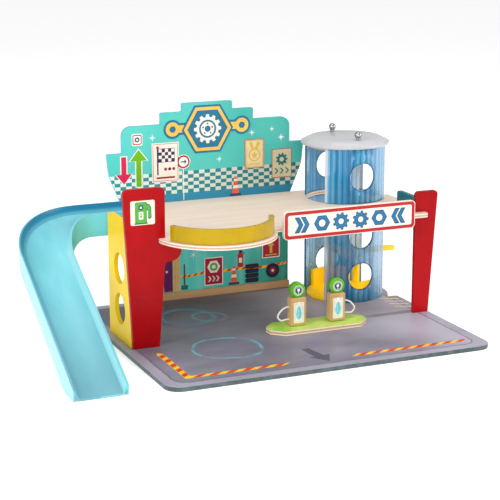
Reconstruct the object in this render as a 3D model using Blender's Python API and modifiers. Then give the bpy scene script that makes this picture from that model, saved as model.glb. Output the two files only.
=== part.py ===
"""Wooden toy garage with an upper deck, a lift in a round tube, a ramp and a pump island.

Units are metres and +Z is up. The origin is the centre of the base board's underside,
+X runs to the right along the front edge and +Y runs to the back.
"""

import math

import bmesh
import bpy
from mathutils import Vector

# General
GAP = 0.0003                  # clearance between pieces that touch
PLY = 0.005                   # thickness of the boards
ARC_STEP = math.radians(12)   # largest step along a rounded corner

# Base board
BASE_WIDTH = 0.400
BASE_DEPTH = 0.338
BASE_THICK = 0.005
BASE_CORNER = 0.018
WING_SHORT = 0.0393           # from the lift's axis forward to the back edge of the right wing
LEFT = -BASE_WIDTH / 2
RIGHT = BASE_WIDTH / 2
FRONT = -BASE_DEPTH / 2
BACK = BASE_DEPTH / 2
FLOOR = BASE_THICK + GAP      # where pieces stand on the base

# Upper deck
DECK_UNDER = 0.128            # height of the deck's underside
DECK_TOP = DECK_UNDER + PLY
DECK_FRONT = FRONT + 0.142
BALCONY_X = LEFT + 0.115
BALCONY_Y = FRONT + 0.152
BALCONY_R = 0.072
GUARD_INSET = 0.004
GUARD_THICK = 0.006
GUARD_HEIGHT = 0.0177
GUARD_START = math.radians(199)
GUARD_END = math.radians(347)
RAMP_DOOR = FRONT + 0.235     # the deck steps in behind this line, where the ramp arrives
DECK_LEFT = LEFT + 0.044      # the deck's left edge at the ramp
TONGUE_R = 0.003

# Back board
BACK_FRONT = BACK - 0.0065    # front face of the back board
BACK_X = LEFT + 0.177         # its line of symmetry
BACK_FOOT = 0.1125            # half widths and heights of the stepped outline
LOBE_HALF = 0.134
LOBE_TOP = 0.199
LOBE_LOW = 0.170
WAIST_TOP = 0.126
SHOULDER_HALF = 0.114
SHOULDER_TOP = 0.232
CREST_HALF = 0.0627
CREST_TOP = 0.2465
PEAK_HALF = 0.034
PEAK_TOP = 0.257
RAIL_HEIGHT = 0.0095
RAIL_DEPTH = 0.005

# Lift tube
LOBE_R = 0.0584               # round lobe of base and deck round the lift
LIFT_X = RIGHT - LOBE_R
LIFT_Y = BACK_FRONT - GAP - LOBE_R
TUBE_R = 0.0513
TUBE_WALL = 0.0022
FLUTE_DEPTH = 0.0007
FLUTES = 13
SHELL_HALF_ANGLE = math.radians(55)
WINDOW_R = 0.017
WINDOW_UP = 0.034             # height of the lowest window's centre over the shell's foot
WINDOW_PITCH = 0.0535
UPPER_SHELL_HEIGHT = 0.0694
HOLE_R = 0.0485               # the deck's hole for the lift
HANDLE_SLOT = 0.018           # width of the deck's slot for the handle
CAP_R = 0.056
CAP_FLAT_R = 0.044
CAP_RIM = 0.0035
CAP_HEIGHT = 0.009
CAP_PLATE = 0.006
SPIGOT_WALL = 0.003
SPIGOT_DEEP = 0.003
ROD_R = 0.002
ROD_SPREAD = 0.0365           # distance of each rod from the tube's axis
ROD_PLAY = 0.0006             # radial clearance of the car's bores
BALL_R = 0.0046
COLLAR_R = 0.0030
COLLAR_HEIGHT = 0.0016

# Lift car
CAR_CLEAR = 0.0016            # between the car's floor and the deck's hole
CAR_R = HOLE_R - CAR_CLEAR
CAR_FLOOR = 0.004
CAR_WALL = 0.0035
CAR_WALL_HEIGHT = 0.021
CAR_WALL_HALF_ANGLE = math.radians(38)
SLEEVE_R = 0.0042
BAR_HEIGHT = 0.052            # underside of the crossbar over the car's underside
BAR_THICK = 0.004
BAR_WIDTH = 0.014
HANDLE_REACH = 0.074
HANDLE_WIDTH = 0.014

# Posts, side panel, right guard and sign
LEFT_POST_FRONT = BALCONY_Y - GAP - PLY
LEFT_POST_TOP = 0.192
RIGHT_POST_FRONT = FRONT + 0.152
RIGHT_POST_TOP = 0.1585
RIGHT_POST_X = RIGHT - 0.0217
TONGUE_END = RIGHT_POST_X + 0.0127
PANEL_X = LEFT + 0.0094
PANEL_BACK = FRONT + 0.229
PANEL_TOP = 0.152
PANEL_HOLE_R = 0.0184
PANEL_HOLE_Y = FRONT + 0.190
PANEL_HOLES_Z = (0.043, 0.0915)
SIDE_GUARD_X = RIGHT - 0.010
SIDE_GUARD_LENGTH = 0.0635
SIDE_GUARD_HEIGHT = 0.0137
SIGN_LEFT = BALCONY_X + BALCONY_R + 0.008
SIGN_RIGHT = RIGHT_POST_X - 0.0093
SIGN_LOW = 0.118
SIGN_HEIGHT = 0.034

# Ramp
RAMP_HALF = 0.0305            # half its width over the skirts
RAMP_WALL = 0.010             # height of the walls over the floor
RAMP_FLARE = 0.0035           # how far a wall leans out
RAMP_RIM = 0.0025
RAMP_FLOOR = 0.0019
RAMP_SKIRT = 0.017            # the skirt's depth below the floor
RAMP_SKIN = 0.0018
RAMP_Y = BACK - 0.0625        # centre line of the upper run
RAMP_TURN_R = 0.0705          # centre line radius of the bend
RAMP_TURN_X = LEFT            # where the bend starts
RAMP_END_Y = FRONT + 0.015
RAMP_MOUTH = 0.014            # how far the mouth lies on the deck
RAMP_DESCENT_AT = 0.050       # run from the bend's start to where the slope's line starts
RAMP_EASE = 0.038             # half length of the rounded start of the slope
PEG_R = 0.0025
PEG_DEEP = 0.004
PEG_APART = 0.030

# Pump island
ISLAND_LEFT = LEFT + 0.178
ISLAND_RIGHT = LEFT + 0.306
ISLAND_FRONT = FRONT + 0.1245
ISLAND_BACK = FRONT + 0.1655
ISLAND_CHAMFER = 0.014
ISLAND_THICK = 0.0057
PUMP_X = (LEFT + 0.2157, LEFT + 0.2677)
PUMP_WIDTH = 0.020
PUMP_DEPTH = 0.012
PUMP_HEIGHT = 0.0345
PUMP_CHAMFER = 0.0012
HEAD_R = 0.0092
HEAD_THICK = 0.008
HEAD_FLAT = 0.0006
HOSE_R = 0.0011
HOSE_TOP = 0.023              # heights of the hose's ends over the island
HOSE_LOW = 0.008
HOSE_REACH = 0.015


def clear_scene():
    for item in list(bpy.data.objects):
        bpy.data.objects.remove(item, do_unlink=True)


def new_collection(name):
    collection = bpy.data.collections.new(name)
    bpy.context.scene.collection.children.link(collection)
    return collection


clear_scene()
PARTS = new_collection("wooden_toy_garage")
CUTTERS = new_collection("cutters")


def paint(name, colour, roughness=0.5, metallic=0.0, alpha=1.0):
    material = bpy.data.materials.new(name)
    material.use_nodes = True
    shader = material.node_tree.nodes["Principled BSDF"]
    shader.inputs["Base Color"].default_value = (*colour, 1.0)
    shader.inputs["Roughness"].default_value = roughness
    shader.inputs["Metallic"].default_value = metallic
    shader.inputs["Alpha"].default_value = alpha
    return material


BASE_GREY = paint("base_grey", (0.25, 0.24, 0.29), 0.45)
PLYWOOD = paint("plywood", (0.77, 0.58, 0.37), 0.6)
TEAL = paint("teal", (0.08, 0.58, 0.53), 0.45)
RED = paint("red", (0.55, 0.01, 0.015), 0.4)
YELLOW = paint("yellow", (0.93, 0.66, 0.03), 0.4)
SIGN_CREAM = paint("sign_cream", (0.92, 0.86, 0.78), 0.5)
BLUE_PLASTIC = paint("blue_plastic", (0.02, 0.24, 0.52), 0.2, 0.0, 0.6)
CAP_GREY = paint("cap_grey", (0.70, 0.70, 0.71), 0.35)
STEEL = paint("steel", (0.75, 0.75, 0.77), 0.2, 1.0)
RAMP_BLUE = paint("ramp_blue", (0.26, 0.72, 0.80), 0.35)
PUMP_WOOD = paint("pump_wood", (0.58, 0.35, 0.16), 0.6)
GREEN = paint("green", (0.21, 0.57, 0.02), 0.45)
WHITE_CORD = paint("white_cord", (0.85, 0.85, 0.83), 0.6)


def place(item, collection):
    for owner in list(item.users_collection):
        owner.objects.unlink(item)
    collection.objects.link(item)


def finish(item, name, material, collection=None):
    item.name = name
    item.data.name = name
    place(item, collection or PARTS)
    if material:
        item.data.materials.clear()
        item.data.materials.append(material)
    return item


def as_cutter(item, name):
    finish(item, name, None, CUTTERS)
    item.hide_render = True
    item.display_type = "WIRE"
    return item


def boolean(target, tool, operation="DIFFERENCE"):
    modifier = target.modifiers.new(tool.name, "BOOLEAN")
    modifier.object = tool
    modifier.operation = operation
    modifier.solver = "EXACT"


def bevel(target, width, segments=1, angle=30):
    modifier = target.modifiers.new("edges", "BEVEL")
    modifier.width = width
    modifier.segments = segments
    modifier.limit_method = "ANGLE"
    modifier.angle_limit = math.radians(angle)


def arc(centre_x, centre_y, radius, start, end, step=ARC_STEP):
    count = max(2, math.ceil(abs(end - start) / step))
    angles = [start + (end - start) * index / count for index in range(count + 1)]
    return [(centre_x + radius * math.cos(a), centre_y + radius * math.sin(a)) for a in angles]


def rounded(corners):
    """Outline through corners (x, y, radius), each one rounded by an arc of its radius."""
    outline = []
    total = len(corners)
    for index, (x, y, radius) in enumerate(corners):
        here = Vector((x, y))
        if radius <= 0:
            outline.append((x, y))
            continue
        before = Vector(corners[index - 1][:2]) - here
        after = Vector(corners[(index + 1) % total][:2]) - here
        half = before.angle(after) / 2
        reach = radius / math.tan(half)
        start = here + before.normalized() * reach
        middle = here + (before.normalized() + after.normalized()).normalized() * radius / math.sin(half)
        sweep = math.pi - 2 * half
        turn = 1 if before.x * after.y - before.y * after.x < 0 else -1
        steps = max(2, math.ceil(sweep / ARC_STEP))
        spoke = start - middle
        for step in range(steps + 1):
            angle = turn * sweep * step / steps
            across = spoke.x * math.cos(angle) - spoke.y * math.sin(angle)
            along = spoke.x * math.sin(angle) + spoke.y * math.cos(angle)
            outline.append((middle.x + across, middle.y + along))
    return outline


def curve_to_mesh(curve_object):
    """A closed mesh object in the place of a curve object, with its caps welded."""
    bpy.context.view_layer.update()
    graph = bpy.context.evaluated_depsgraph_get()
    mesh = bpy.data.meshes.new_from_object(curve_object.evaluated_get(graph))
    shape = bmesh.new()
    shape.from_mesh(mesh)
    bmesh.ops.remove_doubles(shape, verts=shape.verts, dist=0.000005)
    bmesh.ops.recalc_face_normals(shape, faces=shape.faces)
    shape.to_mesh(mesh)
    shape.free()
    item = bpy.data.objects.new(curve_object.name, mesh)
    item.matrix_world = curve_object.matrix_world.copy()
    PARTS.objects.link(item)
    bpy.data.objects.remove(curve_object, do_unlink=True)
    return item


def plate(outline, thickness, lie="FLAT", at=0.0):
    """Board cut to an outline. FLAT lies in XY with its underside at the height at,
    FACE stands in XZ with its front face at Y = at, SIDE stands in YZ with its left face at X = at."""
    curve = bpy.data.curves.new("outline", "CURVE")
    curve.dimensions = "2D"
    curve.fill_mode = "BOTH"
    curve.extrude = thickness / 2
    spline = curve.splines.new("POLY")
    spline.points.add(len(outline) - 1)
    for point, (x, y) in zip(spline.points, outline):
        point.co = (x, y, 0.0, 1.0)
    spline.use_cyclic_u = True
    item = bpy.data.objects.new("outline", curve)
    PARTS.objects.link(item)
    middle = at + thickness / 2
    if lie == "FLAT":
        item.location = (0.0, 0.0, middle)
    elif lie == "FACE":
        item.rotation_euler = (math.pi / 2, 0.0, 0.0)
        item.location = (0.0, middle, 0.0)
    else:
        item.rotation_euler = (math.pi / 2, 0.0, math.pi / 2)
        item.location = (middle, 0.0, 0.0)
    return curve_to_mesh(item)


def cylinder(radius, depth, location, rotation=(0.0, 0.0, 0.0), sides=32):
    bpy.ops.mesh.primitive_cylinder_add(
        vertices=sides, radius=radius, depth=depth, location=location, rotation=rotation)
    return bpy.context.object


def scaled_box(size, location):
    bpy.ops.mesh.primitive_cube_add(size=1.0, location=location)
    item = bpy.context.object
    for vertex in item.data.vertices:
        vertex.co.x *= size[0]
        vertex.co.y *= size[1]
        vertex.co.z *= size[2]
    return item


def turned(profile, location, steps):
    """Solid turned about a vertical axis from (radius, height) points, listed top to bottom."""
    mesh = bpy.data.meshes.new("profile")
    edges = [(index, index + 1) for index in range(len(profile) - 1)]
    mesh.from_pydata([(radius, 0.0, height) for radius, height in profile], edges, [])
    item = bpy.data.objects.new("profile", mesh)
    item.location = location
    PARTS.objects.link(item)
    screw = item.modifiers.new("turn", "SCREW")
    screw.angle = math.tau
    screw.steps = steps
    screw.render_steps = steps
    screw.use_merge_vertices = True
    screw.merge_threshold = 0.00001
    return item


def smooth(item, angle=35):
    item.data.shade_smooth()
    item.data.set_sharp_from_angle(angle=math.radians(angle))


def build_base():
    notch = LIFT_Y - WING_SHORT
    start = -math.asin(WING_SHORT / LOBE_R)
    outline = rounded([(LEFT, FRONT, BASE_CORNER), (RIGHT, FRONT, BASE_CORNER), (RIGHT, notch, 0.003)]
                      + [(x, y, 0.0) for x, y in arc(LIFT_X, LIFT_Y, LOBE_R, start, math.pi / 2)]
                      + [(BACK_X + LOBE_HALF, LIFT_Y + LOBE_R, 0.0),
                         (BACK_X + LOBE_HALF - PLY, BACK, 0.002),
                         (LEFT, BACK, BASE_CORNER)])
    finish(plate(outline, BASE_THICK), "base_board", BASE_GREY)


def build_deck():
    meet = math.asin((DECK_FRONT - BALCONY_Y) / BALCONY_R)
    behind = RIGHT_POST_FRONT + PLY + GAP
    panel_side = PANEL_X + PLY + GAP
    outline = arc(BALCONY_X, BALCONY_Y, BALCONY_R, math.pi, math.tau + meet)
    outline += rounded([(BALCONY_X + BALCONY_R, DECK_FRONT, 0.0), (TONGUE_END, DECK_FRONT, TONGUE_R),
                        (TONGUE_END, behind, 0.0), (RIGHT, behind, 0.0)])[1:]
    outline += arc(LIFT_X, LIFT_Y, LOBE_R, 0.0, math.pi / 2)
    outline += [(DECK_LEFT, LIFT_Y + LOBE_R), (DECK_LEFT, RAMP_DOOR), (panel_side, RAMP_DOOR),
                (panel_side, BALCONY_Y)]
    deck = finish(plate(outline, PLY, at=DECK_UNDER), "upper_deck", PLYWOOD)
    middle = DECK_UNDER + PLY / 2
    hole = cylinder(HOLE_R, PLY * 4, (LIFT_X, LIFT_Y, middle), sides=72)
    boolean(deck, as_cutter(hole, "deck_lift_hole"))
    slot_length = LOBE_R * 1.5
    slot = scaled_box((slot_length, HANDLE_SLOT, PLY * 4), (LIFT_X + slot_length / 2, LIFT_Y, middle))
    boolean(deck, as_cutter(slot, "deck_handle_slot"))
    for index, side in enumerate((-1, 1)):
        place_at = (DECK_LEFT + RAMP_MOUTH / 2, RAMP_Y + side * PEG_APART / 2, middle)
        hole = cylinder(PEG_R + GAP, PLY * 4, place_at, sides=16)
        boolean(deck, as_cutter(hole, f"deck_peg_hole_{index + 1}"))


def build_deck_guards():
    outer = BALCONY_R - GUARD_INSET
    inner = outer - GUARD_THICK
    step = math.radians(6)
    outline = arc(BALCONY_X, BALCONY_Y, outer, GUARD_START, GUARD_END, step)
    outline += arc(BALCONY_X, BALCONY_Y, inner, GUARD_END, GUARD_START, step)
    guard = finish(plate(outline, GUARD_HEIGHT, at=DECK_TOP + GAP), "deck_guard", YELLOW)
    bevel(guard, 0.0008, 1, 50)
    start = RIGHT_POST_FRONT + PLY + GAP
    low = DECK_TOP + GAP
    outline = rounded([(start, low, 0.0), (start + SIDE_GUARD_LENGTH, low, 0.0),
                       (start + SIDE_GUARD_LENGTH, low + SIDE_GUARD_HEIGHT, 0.004),
                       (start, low + SIDE_GUARD_HEIGHT, 0.002)])
    finish(plate(outline, PLY, "SIDE", SIDE_GUARD_X), "right_guard", TEAL)


def build_left_post():
    slot_low = DECK_UNDER - GAP
    slot_high = DECK_TOP + GAP
    slot_end = BALCONY_X - BALCONY_R - GAP
    foot = (LEFT + 0.0106, LEFT + 0.0426)
    head = (LEFT + 0.001, LEFT + 0.0513)
    bracket = 0.0205
    outline = rounded([
        (foot[0], FLOOR, 0.0), (foot[1], FLOOR, 0.0),
        (head[1] - 0.0005, slot_low - 0.0235, 0.004),
        (head[1] + bracket - 0.002, slot_low - 0.0215, 0.013),
        (head[1] + bracket, slot_low, 0.0), (slot_end, slot_low, 0.0), (slot_end, slot_high, 0.0),
        (head[1] - 0.0003, slot_high, 0.0),
        (head[1], LEFT_POST_TOP, 0.006), (head[0], LEFT_POST_TOP, 0.006)])
    finish(plate(outline, PLY, "FACE", LEFT_POST_FRONT), "left_post", RED)


def build_right_post():
    slot_low = DECK_UNDER - GAP
    slot_high = DECK_TOP + GAP
    slot_end = TONGUE_END + GAP
    outline = rounded([
        (RIGHT_POST_X, FLOOR, 0.0), (RIGHT - 0.001, FLOOR, 0.0),
        (RIGHT + 0.009, RIGHT_POST_TOP, 0.005), (RIGHT_POST_X, RIGHT_POST_TOP, 0.005),
        (RIGHT_POST_X, slot_high, 0.0), (slot_end, slot_high, 0.0), (slot_end, slot_low, 0.0),
        (RIGHT_POST_X, slot_low, 0.0)])
    finish(plate(outline, PLY, "FACE", RIGHT_POST_FRONT), "right_post", RED)


def build_side_panel():
    start = LEFT_POST_FRONT + PLY + GAP
    outline = rounded([(start, FLOOR, 0.0), (PANEL_BACK, FLOOR, 0.0),
                       (PANEL_BACK, PANEL_TOP, 0.009), (start, PANEL_TOP, 0.0)])
    panel = finish(plate(outline, PLY, "SIDE", PANEL_X), "side_panel", YELLOW)
    for index, height in enumerate(PANEL_HOLES_Z):
        hole = cylinder(PANEL_HOLE_R, PLY * 4, (PANEL_X + PLY / 2, PANEL_HOLE_Y, height),
                        (0.0, math.pi / 2, 0.0), 40)
        boolean(panel, as_cutter(hole, f"panel_hole_{index + 1}"))


def build_back_board():
    right_half = [
        (BACK_FOOT, FLOOR, 0.0), (BACK_FOOT, WAIST_TOP, 0.030), (LOBE_HALF - 0.003, LOBE_LOW, 0.040),
        (LOBE_HALF, LOBE_TOP, 0.002), (SHOULDER_HALF, LOBE_TOP, 0.001),
        (SHOULDER_HALF, SHOULDER_TOP, 0.012), (CREST_HALF, SHOULDER_TOP, 0.001),
        (CREST_HALF, CREST_TOP, 0.002), (PEAK_HALF, CREST_TOP, 0.001), (PEAK_HALF, PEAK_TOP, 0.002)]
    left_half = [(-x, z, radius) for x, z, radius in reversed(right_half)]
    outline = rounded([(BACK_X + x, z, radius) for x, z, radius in right_half + left_half])
    finish(plate(outline, PLY, "FACE", BACK_FRONT), "back_board", TEAL)
    rail_y = BACK_FRONT - GAP - RAIL_DEPTH / 2
    rail = scaled_box((2 * BACK_FOOT, RAIL_DEPTH, RAIL_HEIGHT), (BACK_X, rail_y, FLOOR + RAIL_HEIGHT / 2))
    finish(rail, "back_rail", PLYWOOD)
    bevel(rail, 0.0008)


def build_sign():
    high = SIGN_LOW + SIGN_HEIGHT
    outline = rounded([(SIGN_LEFT, SIGN_LOW, 0.005), (SIGN_RIGHT, SIGN_LOW, 0.005),
                       (SIGN_RIGHT, high, 0.005), (SIGN_LEFT, high, 0.005)])
    finish(plate(outline, PLY, "FACE", DECK_FRONT - GAP - PLY), "sign_board", SIGN_CREAM)


def shell_outline(facing):
    """Plan of one fluted shell about the tube's axis, facing the angle given."""
    points = []
    count = FLUTES * 4
    for index in range(count + 1):
        share = index / count
        angle = facing - SHELL_HALF_ANGLE + 2 * SHELL_HALF_ANGLE * share
        swell = 0.5 - 0.5 * math.cos(math.tau * share * FLUTES)
        radius = TUBE_R + FLUTE_DEPTH * swell
        points.append((LIFT_X + radius * math.cos(angle), LIFT_Y + radius * math.sin(angle)))
    inner = TUBE_R - TUBE_WALL
    end = facing + SHELL_HALF_ANGLE
    return points + arc(LIFT_X, LIFT_Y, inner, end, facing - SHELL_HALF_ANGLE, math.radians(5))


def build_shells():
    lower_height = DECK_UNDER - GAP - FLOOR
    levels = (("lower", FLOOR, lower_height, (WINDOW_UP, WINDOW_UP + WINDOW_PITCH)),
              ("upper", DECK_TOP + GAP, UPPER_SHELL_HEIGHT, (WINDOW_UP,)))
    sides = (("front", -math.pi / 2), ("back", math.pi / 2))
    for level, foot, height, windows in levels:
        for side, facing in sides:
            shell = finish(plate(shell_outline(facing), height, at=foot), f"shell_{level}_{side}", BLUE_PLASTIC)
            for index, rise in enumerate(windows):
                centre_y = LIFT_Y + math.sin(facing) * TUBE_R
                window = cylinder(WINDOW_R, TUBE_R / 2, (LIFT_X, centre_y, foot + rise),
                                  (math.pi / 2, 0.0, 0.0), 36)
                boolean(shell, as_cutter(window, f"window_{level}_{side}_{index + 1}"))


def rod_places():
    return (("front", LIFT_Y - ROD_SPREAD), ("back", LIFT_Y + ROD_SPREAD))


def build_cap_and_rods():
    under = DECK_TOP + GAP + UPPER_SHELL_HEIGHT + GAP
    top = under + CAP_HEIGHT
    spigot = TUBE_R - TUBE_WALL - 2 * GAP
    profile = [(0.0, top), (CAP_FLAT_R, top), (CAP_FLAT_R + 0.002, top - 0.0007), (CAP_R, under + CAP_RIM),
               (CAP_R, under + 0.0006), (CAP_R - 0.0006, under), (spigot, under),
               (spigot, under - SPIGOT_DEEP), (spigot - SPIGOT_WALL, under - SPIGOT_DEEP),
               (spigot - SPIGOT_WALL, top - CAP_PLATE), (0.0, top - CAP_PLATE)]
    cap = finish(turned(profile, (LIFT_X, LIFT_Y, 0.0), 64), "lift_cap", CAP_GREY)
    smooth(cap)
    for side, rod_y in rod_places():
        hole = cylinder(ROD_R + GAP, CAP_HEIGHT * 3, (LIFT_X, rod_y, top), sides=20)
        boolean(cap, as_cutter(hole, f"cap_hole_{side}"))
        length = top - GAP - FLOOR
        rod = cylinder(ROD_R, length, (LIFT_X, rod_y, FLOOR + length / 2), sides=20)
        smooth(finish(rod, f"guide_rod_{side}", STEEL))
        foot = top + GAP
        middle = foot + COLLAR_HEIGHT + BALL_R * 0.95
        low = math.asin((foot + COLLAR_HEIGHT - middle) / BALL_R)
        ball = [(BALL_R * math.cos(a), middle + BALL_R * math.sin(a))
                for a in (math.pi / 2 + (low - math.pi / 2) * step / 10 for step in range(1, 11))]
        profile = [(0.0, middle + BALL_R)] + ball + [(COLLAR_R, foot + COLLAR_HEIGHT), (COLLAR_R, foot),
                                                    (0.0, foot)]
        smooth(finish(turned(profile, (LIFT_X, rod_y, 0.0), 24), f"rod_knob_{side}", STEEL))


def car_wall(facing):
    step = math.radians(6)
    outer = CAR_R - 0.0005
    start = facing - CAR_WALL_HALF_ANGLE
    end = facing + CAR_WALL_HALF_ANGLE
    outline = arc(LIFT_X, LIFT_Y, outer, start, end, step)
    outline += arc(LIFT_X, LIFT_Y, outer - CAR_WALL, end, start, step)
    overlap = CAR_FLOOR / 2
    return plate(outline, CAR_WALL_HEIGHT + overlap, at=FLOOR + CAR_FLOOR - overlap)


def build_lift_car():
    foot = FLOOR
    car = cylinder(CAR_R, CAR_FLOOR, (LIFT_X, LIFT_Y, foot + CAR_FLOOR / 2), sides=64)
    finish(car, "lift_car", YELLOW)
    for side, facing in (("front", -math.pi / 2), ("back", math.pi / 2)):
        boolean(car, as_cutter(car_wall(facing), f"car_wall_{side}"), "UNION")
    bar_low = foot + BAR_HEIGHT
    for side, rod_y in rod_places():
        rise = BAR_HEIGHT - CAR_FLOOR / 2 + BAR_THICK / 2
        sleeve = cylinder(SLEEVE_R, rise, (LIFT_X, rod_y, foot + CAR_FLOOR / 2 + rise / 2), sides=24)
        boolean(car, as_cutter(sleeve, f"car_sleeve_{side}"), "UNION")
    half = BAR_WIDTH / 2
    reach = ROD_SPREAD + SLEEVE_R + 0.002
    tab = HANDLE_WIDTH / 2
    outline = rounded([
        (LIFT_X - half, LIFT_Y - reach, 0.004), (LIFT_X + half, LIFT_Y - reach, 0.004),
        (LIFT_X + half, LIFT_Y - tab, 0.003),
        (LIFT_X + HANDLE_REACH, LIFT_Y - tab, 0.006), (LIFT_X + HANDLE_REACH, LIFT_Y + tab, 0.006),
        (LIFT_X + half, LIFT_Y + tab, 0.003),
        (LIFT_X + half, LIFT_Y + reach, 0.004), (LIFT_X - half, LIFT_Y + reach, 0.004)])
    boolean(car, as_cutter(plate(outline, BAR_THICK, at=bar_low), "car_crossbar"), "UNION")
    for side, rod_y in rod_places():
        bore = cylinder(ROD_R + ROD_PLAY, BAR_HEIGHT * 3, (LIFT_X, rod_y, bar_low / 2), sides=20)
        boolean(car, as_cutter(bore, f"car_bore_{side}"))


def ramp_floor_height(run, total, level, low):
    """Height of the ramp's floor after a run from the start of the bend."""
    slope = (level - low) / (total - RAMP_DESCENT_AT)
    into = run - (RAMP_DESCENT_AT - RAMP_EASE)
    if into <= 0:
        return level
    if into < 2 * RAMP_EASE:
        return level - slope * into * into / (4 * RAMP_EASE)
    return level - slope * (run - RAMP_DESCENT_AT)


def ramp_section(height):
    """Half section of the channel as (distance from the centre line, height), inside first."""
    skirt = max(height - RAMP_SKIRT, 0.0)
    rim = height + RAMP_WALL
    inner_top = RAMP_HALF - RAMP_RIM
    inner_low = inner_top - RAMP_FLARE
    under = height - RAMP_FLOOR
    skin = RAMP_HALF - RAMP_SKIN
    return [(inner_low - 0.0015, height), (inner_low, height + 0.0012), (inner_top, rim),
            (RAMP_HALF, rim), (RAMP_HALF, skirt), (skin, skirt), (skin, under + 0.006),
            (inner_low - 0.0005, under)]


def build_ramp():
    bend = RAMP_TURN_R * math.pi / 2
    centre_y = RAMP_Y - RAMP_TURN_R
    straight = centre_y - RAMP_END_Y
    total = bend + straight
    level = DECK_TOP + GAP + RAMP_FLOOR
    stations = []
    mouth = DECK_LEFT + RAMP_MOUTH
    for x in (mouth, RAMP_TURN_X + 0.004):
        stations.append(((x, RAMP_Y), (0.0, 1.0), 0.0))
    turns = 18
    for index in range(turns + 1):
        angle = math.pi / 2 + math.pi / 2 * index / turns
        outward = (math.cos(angle), math.sin(angle))
        centre = (RAMP_TURN_X + RAMP_TURN_R * outward[0], centre_y + RAMP_TURN_R * outward[1])
        stations.append((centre, outward, bend * index / turns))
    runs = 14
    for index in range(1, runs + 1):
        down = straight * index / runs
        stations.append(((RAMP_TURN_X - RAMP_TURN_R, centre_y - down), (-1.0, 0.0), bend + down))
    shape = bmesh.new()
    rings = []
    for centre, outward, run in stations:
        section = ramp_section(ramp_floor_height(run, total, level, RAMP_FLOOR))
        around = section + [(-across, height) for across, height in reversed(section)]
        rings.append([shape.verts.new((centre[0] + outward[0] * across, centre[1] + outward[1] * across, height))
                      for across, height in around])
    for first, second in zip(rings, rings[1:]):
        count = len(first)
        for index in range(count):
            after = (index + 1) % count
            shape.faces.new((first[index], first[after], second[after], second[index]))
    shape.faces.new(list(reversed(rings[0])))
    shape.faces.new(rings[-1])
    bmesh.ops.recalc_face_normals(shape, faces=shape.faces)
    mesh = bpy.data.meshes.new("ramp")
    shape.to_mesh(mesh)
    shape.free()
    ramp = bpy.data.objects.new("ramp", mesh)
    PARTS.objects.link(ramp)
    finish(ramp, "ramp", RAMP_BLUE)
    depth = RAMP_SKIRT * 2
    edge = DECK_LEFT - GAP
    trim = scaled_box((RAMP_MOUTH * 2, RAMP_HALF * 3, depth),
                      (edge + RAMP_MOUTH, RAMP_Y, DECK_TOP + GAP - depth / 2))
    boolean(ramp, as_cutter(trim, "ramp_mouth_trim"))
    for index, side in enumerate((-1, 1)):
        peg = cylinder(PEG_R, PEG_DEEP + RAMP_FLOOR / 2,
                       (DECK_LEFT + RAMP_MOUTH / 2, RAMP_Y + side * PEG_APART / 2,
                        DECK_TOP + GAP + RAMP_FLOOR / 2 - (PEG_DEEP + RAMP_FLOOR / 2) / 2), sides=16)
        boolean(ramp, as_cutter(peg, f"ramp_peg_{index + 1}"), "UNION")


def spline_through(points, step_count=5):
    """Points of a smooth curve through the route's own points."""
    path = [Vector(point) for point in points]
    padded = [2 * path[0] - path[1]] + path + [2 * path[-1] - path[-2]]
    smooth_path = []
    for index in range(len(path) - 1):
        a, b, c, d = padded[index:index + 4]
        for step in range(step_count):
            t = step / step_count
            smooth_path.append(0.5 * ((2 * b) + (c - a) * t + (2 * a - 5 * b + 4 * c - d) * t * t
                                      + (3 * b - 3 * c + d - a) * t ** 3))
    smooth_path.append(path[-1])
    return smooth_path


def build_hose(name, side_x, side, y, low):
    """White hose that leaves the pump's side high up and returns to it low down."""
    start = side_x + side * GAP
    route = [(start, HOSE_TOP), (start + side * 0.004, HOSE_TOP), (start + side * 0.010, HOSE_TOP - 0.003),
             (start + side * HOSE_REACH, HOSE_TOP - 0.010), (start + side * 0.011, HOSE_LOW - 0.0005),
             (start + side * 0.004, HOSE_LOW), (start, HOSE_LOW)]
    points = spline_through([(x, y, low + height) for x, height in route], 4)
    curve = bpy.data.curves.new(name, "CURVE")
    curve.dimensions = "3D"
    curve.bevel_depth = HOSE_R
    curve.bevel_resolution = 2
    curve.use_fill_caps = True
    spline = curve.splines.new("POLY")
    spline.points.add(len(points) - 1)
    for point, place_at in zip(spline.points, points):
        point.co = (*place_at, 1.0)
    item = bpy.data.objects.new(name, curve)
    PARTS.objects.link(item)
    smooth(finish(curve_to_mesh(item), name, WHITE_CORD))


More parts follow.
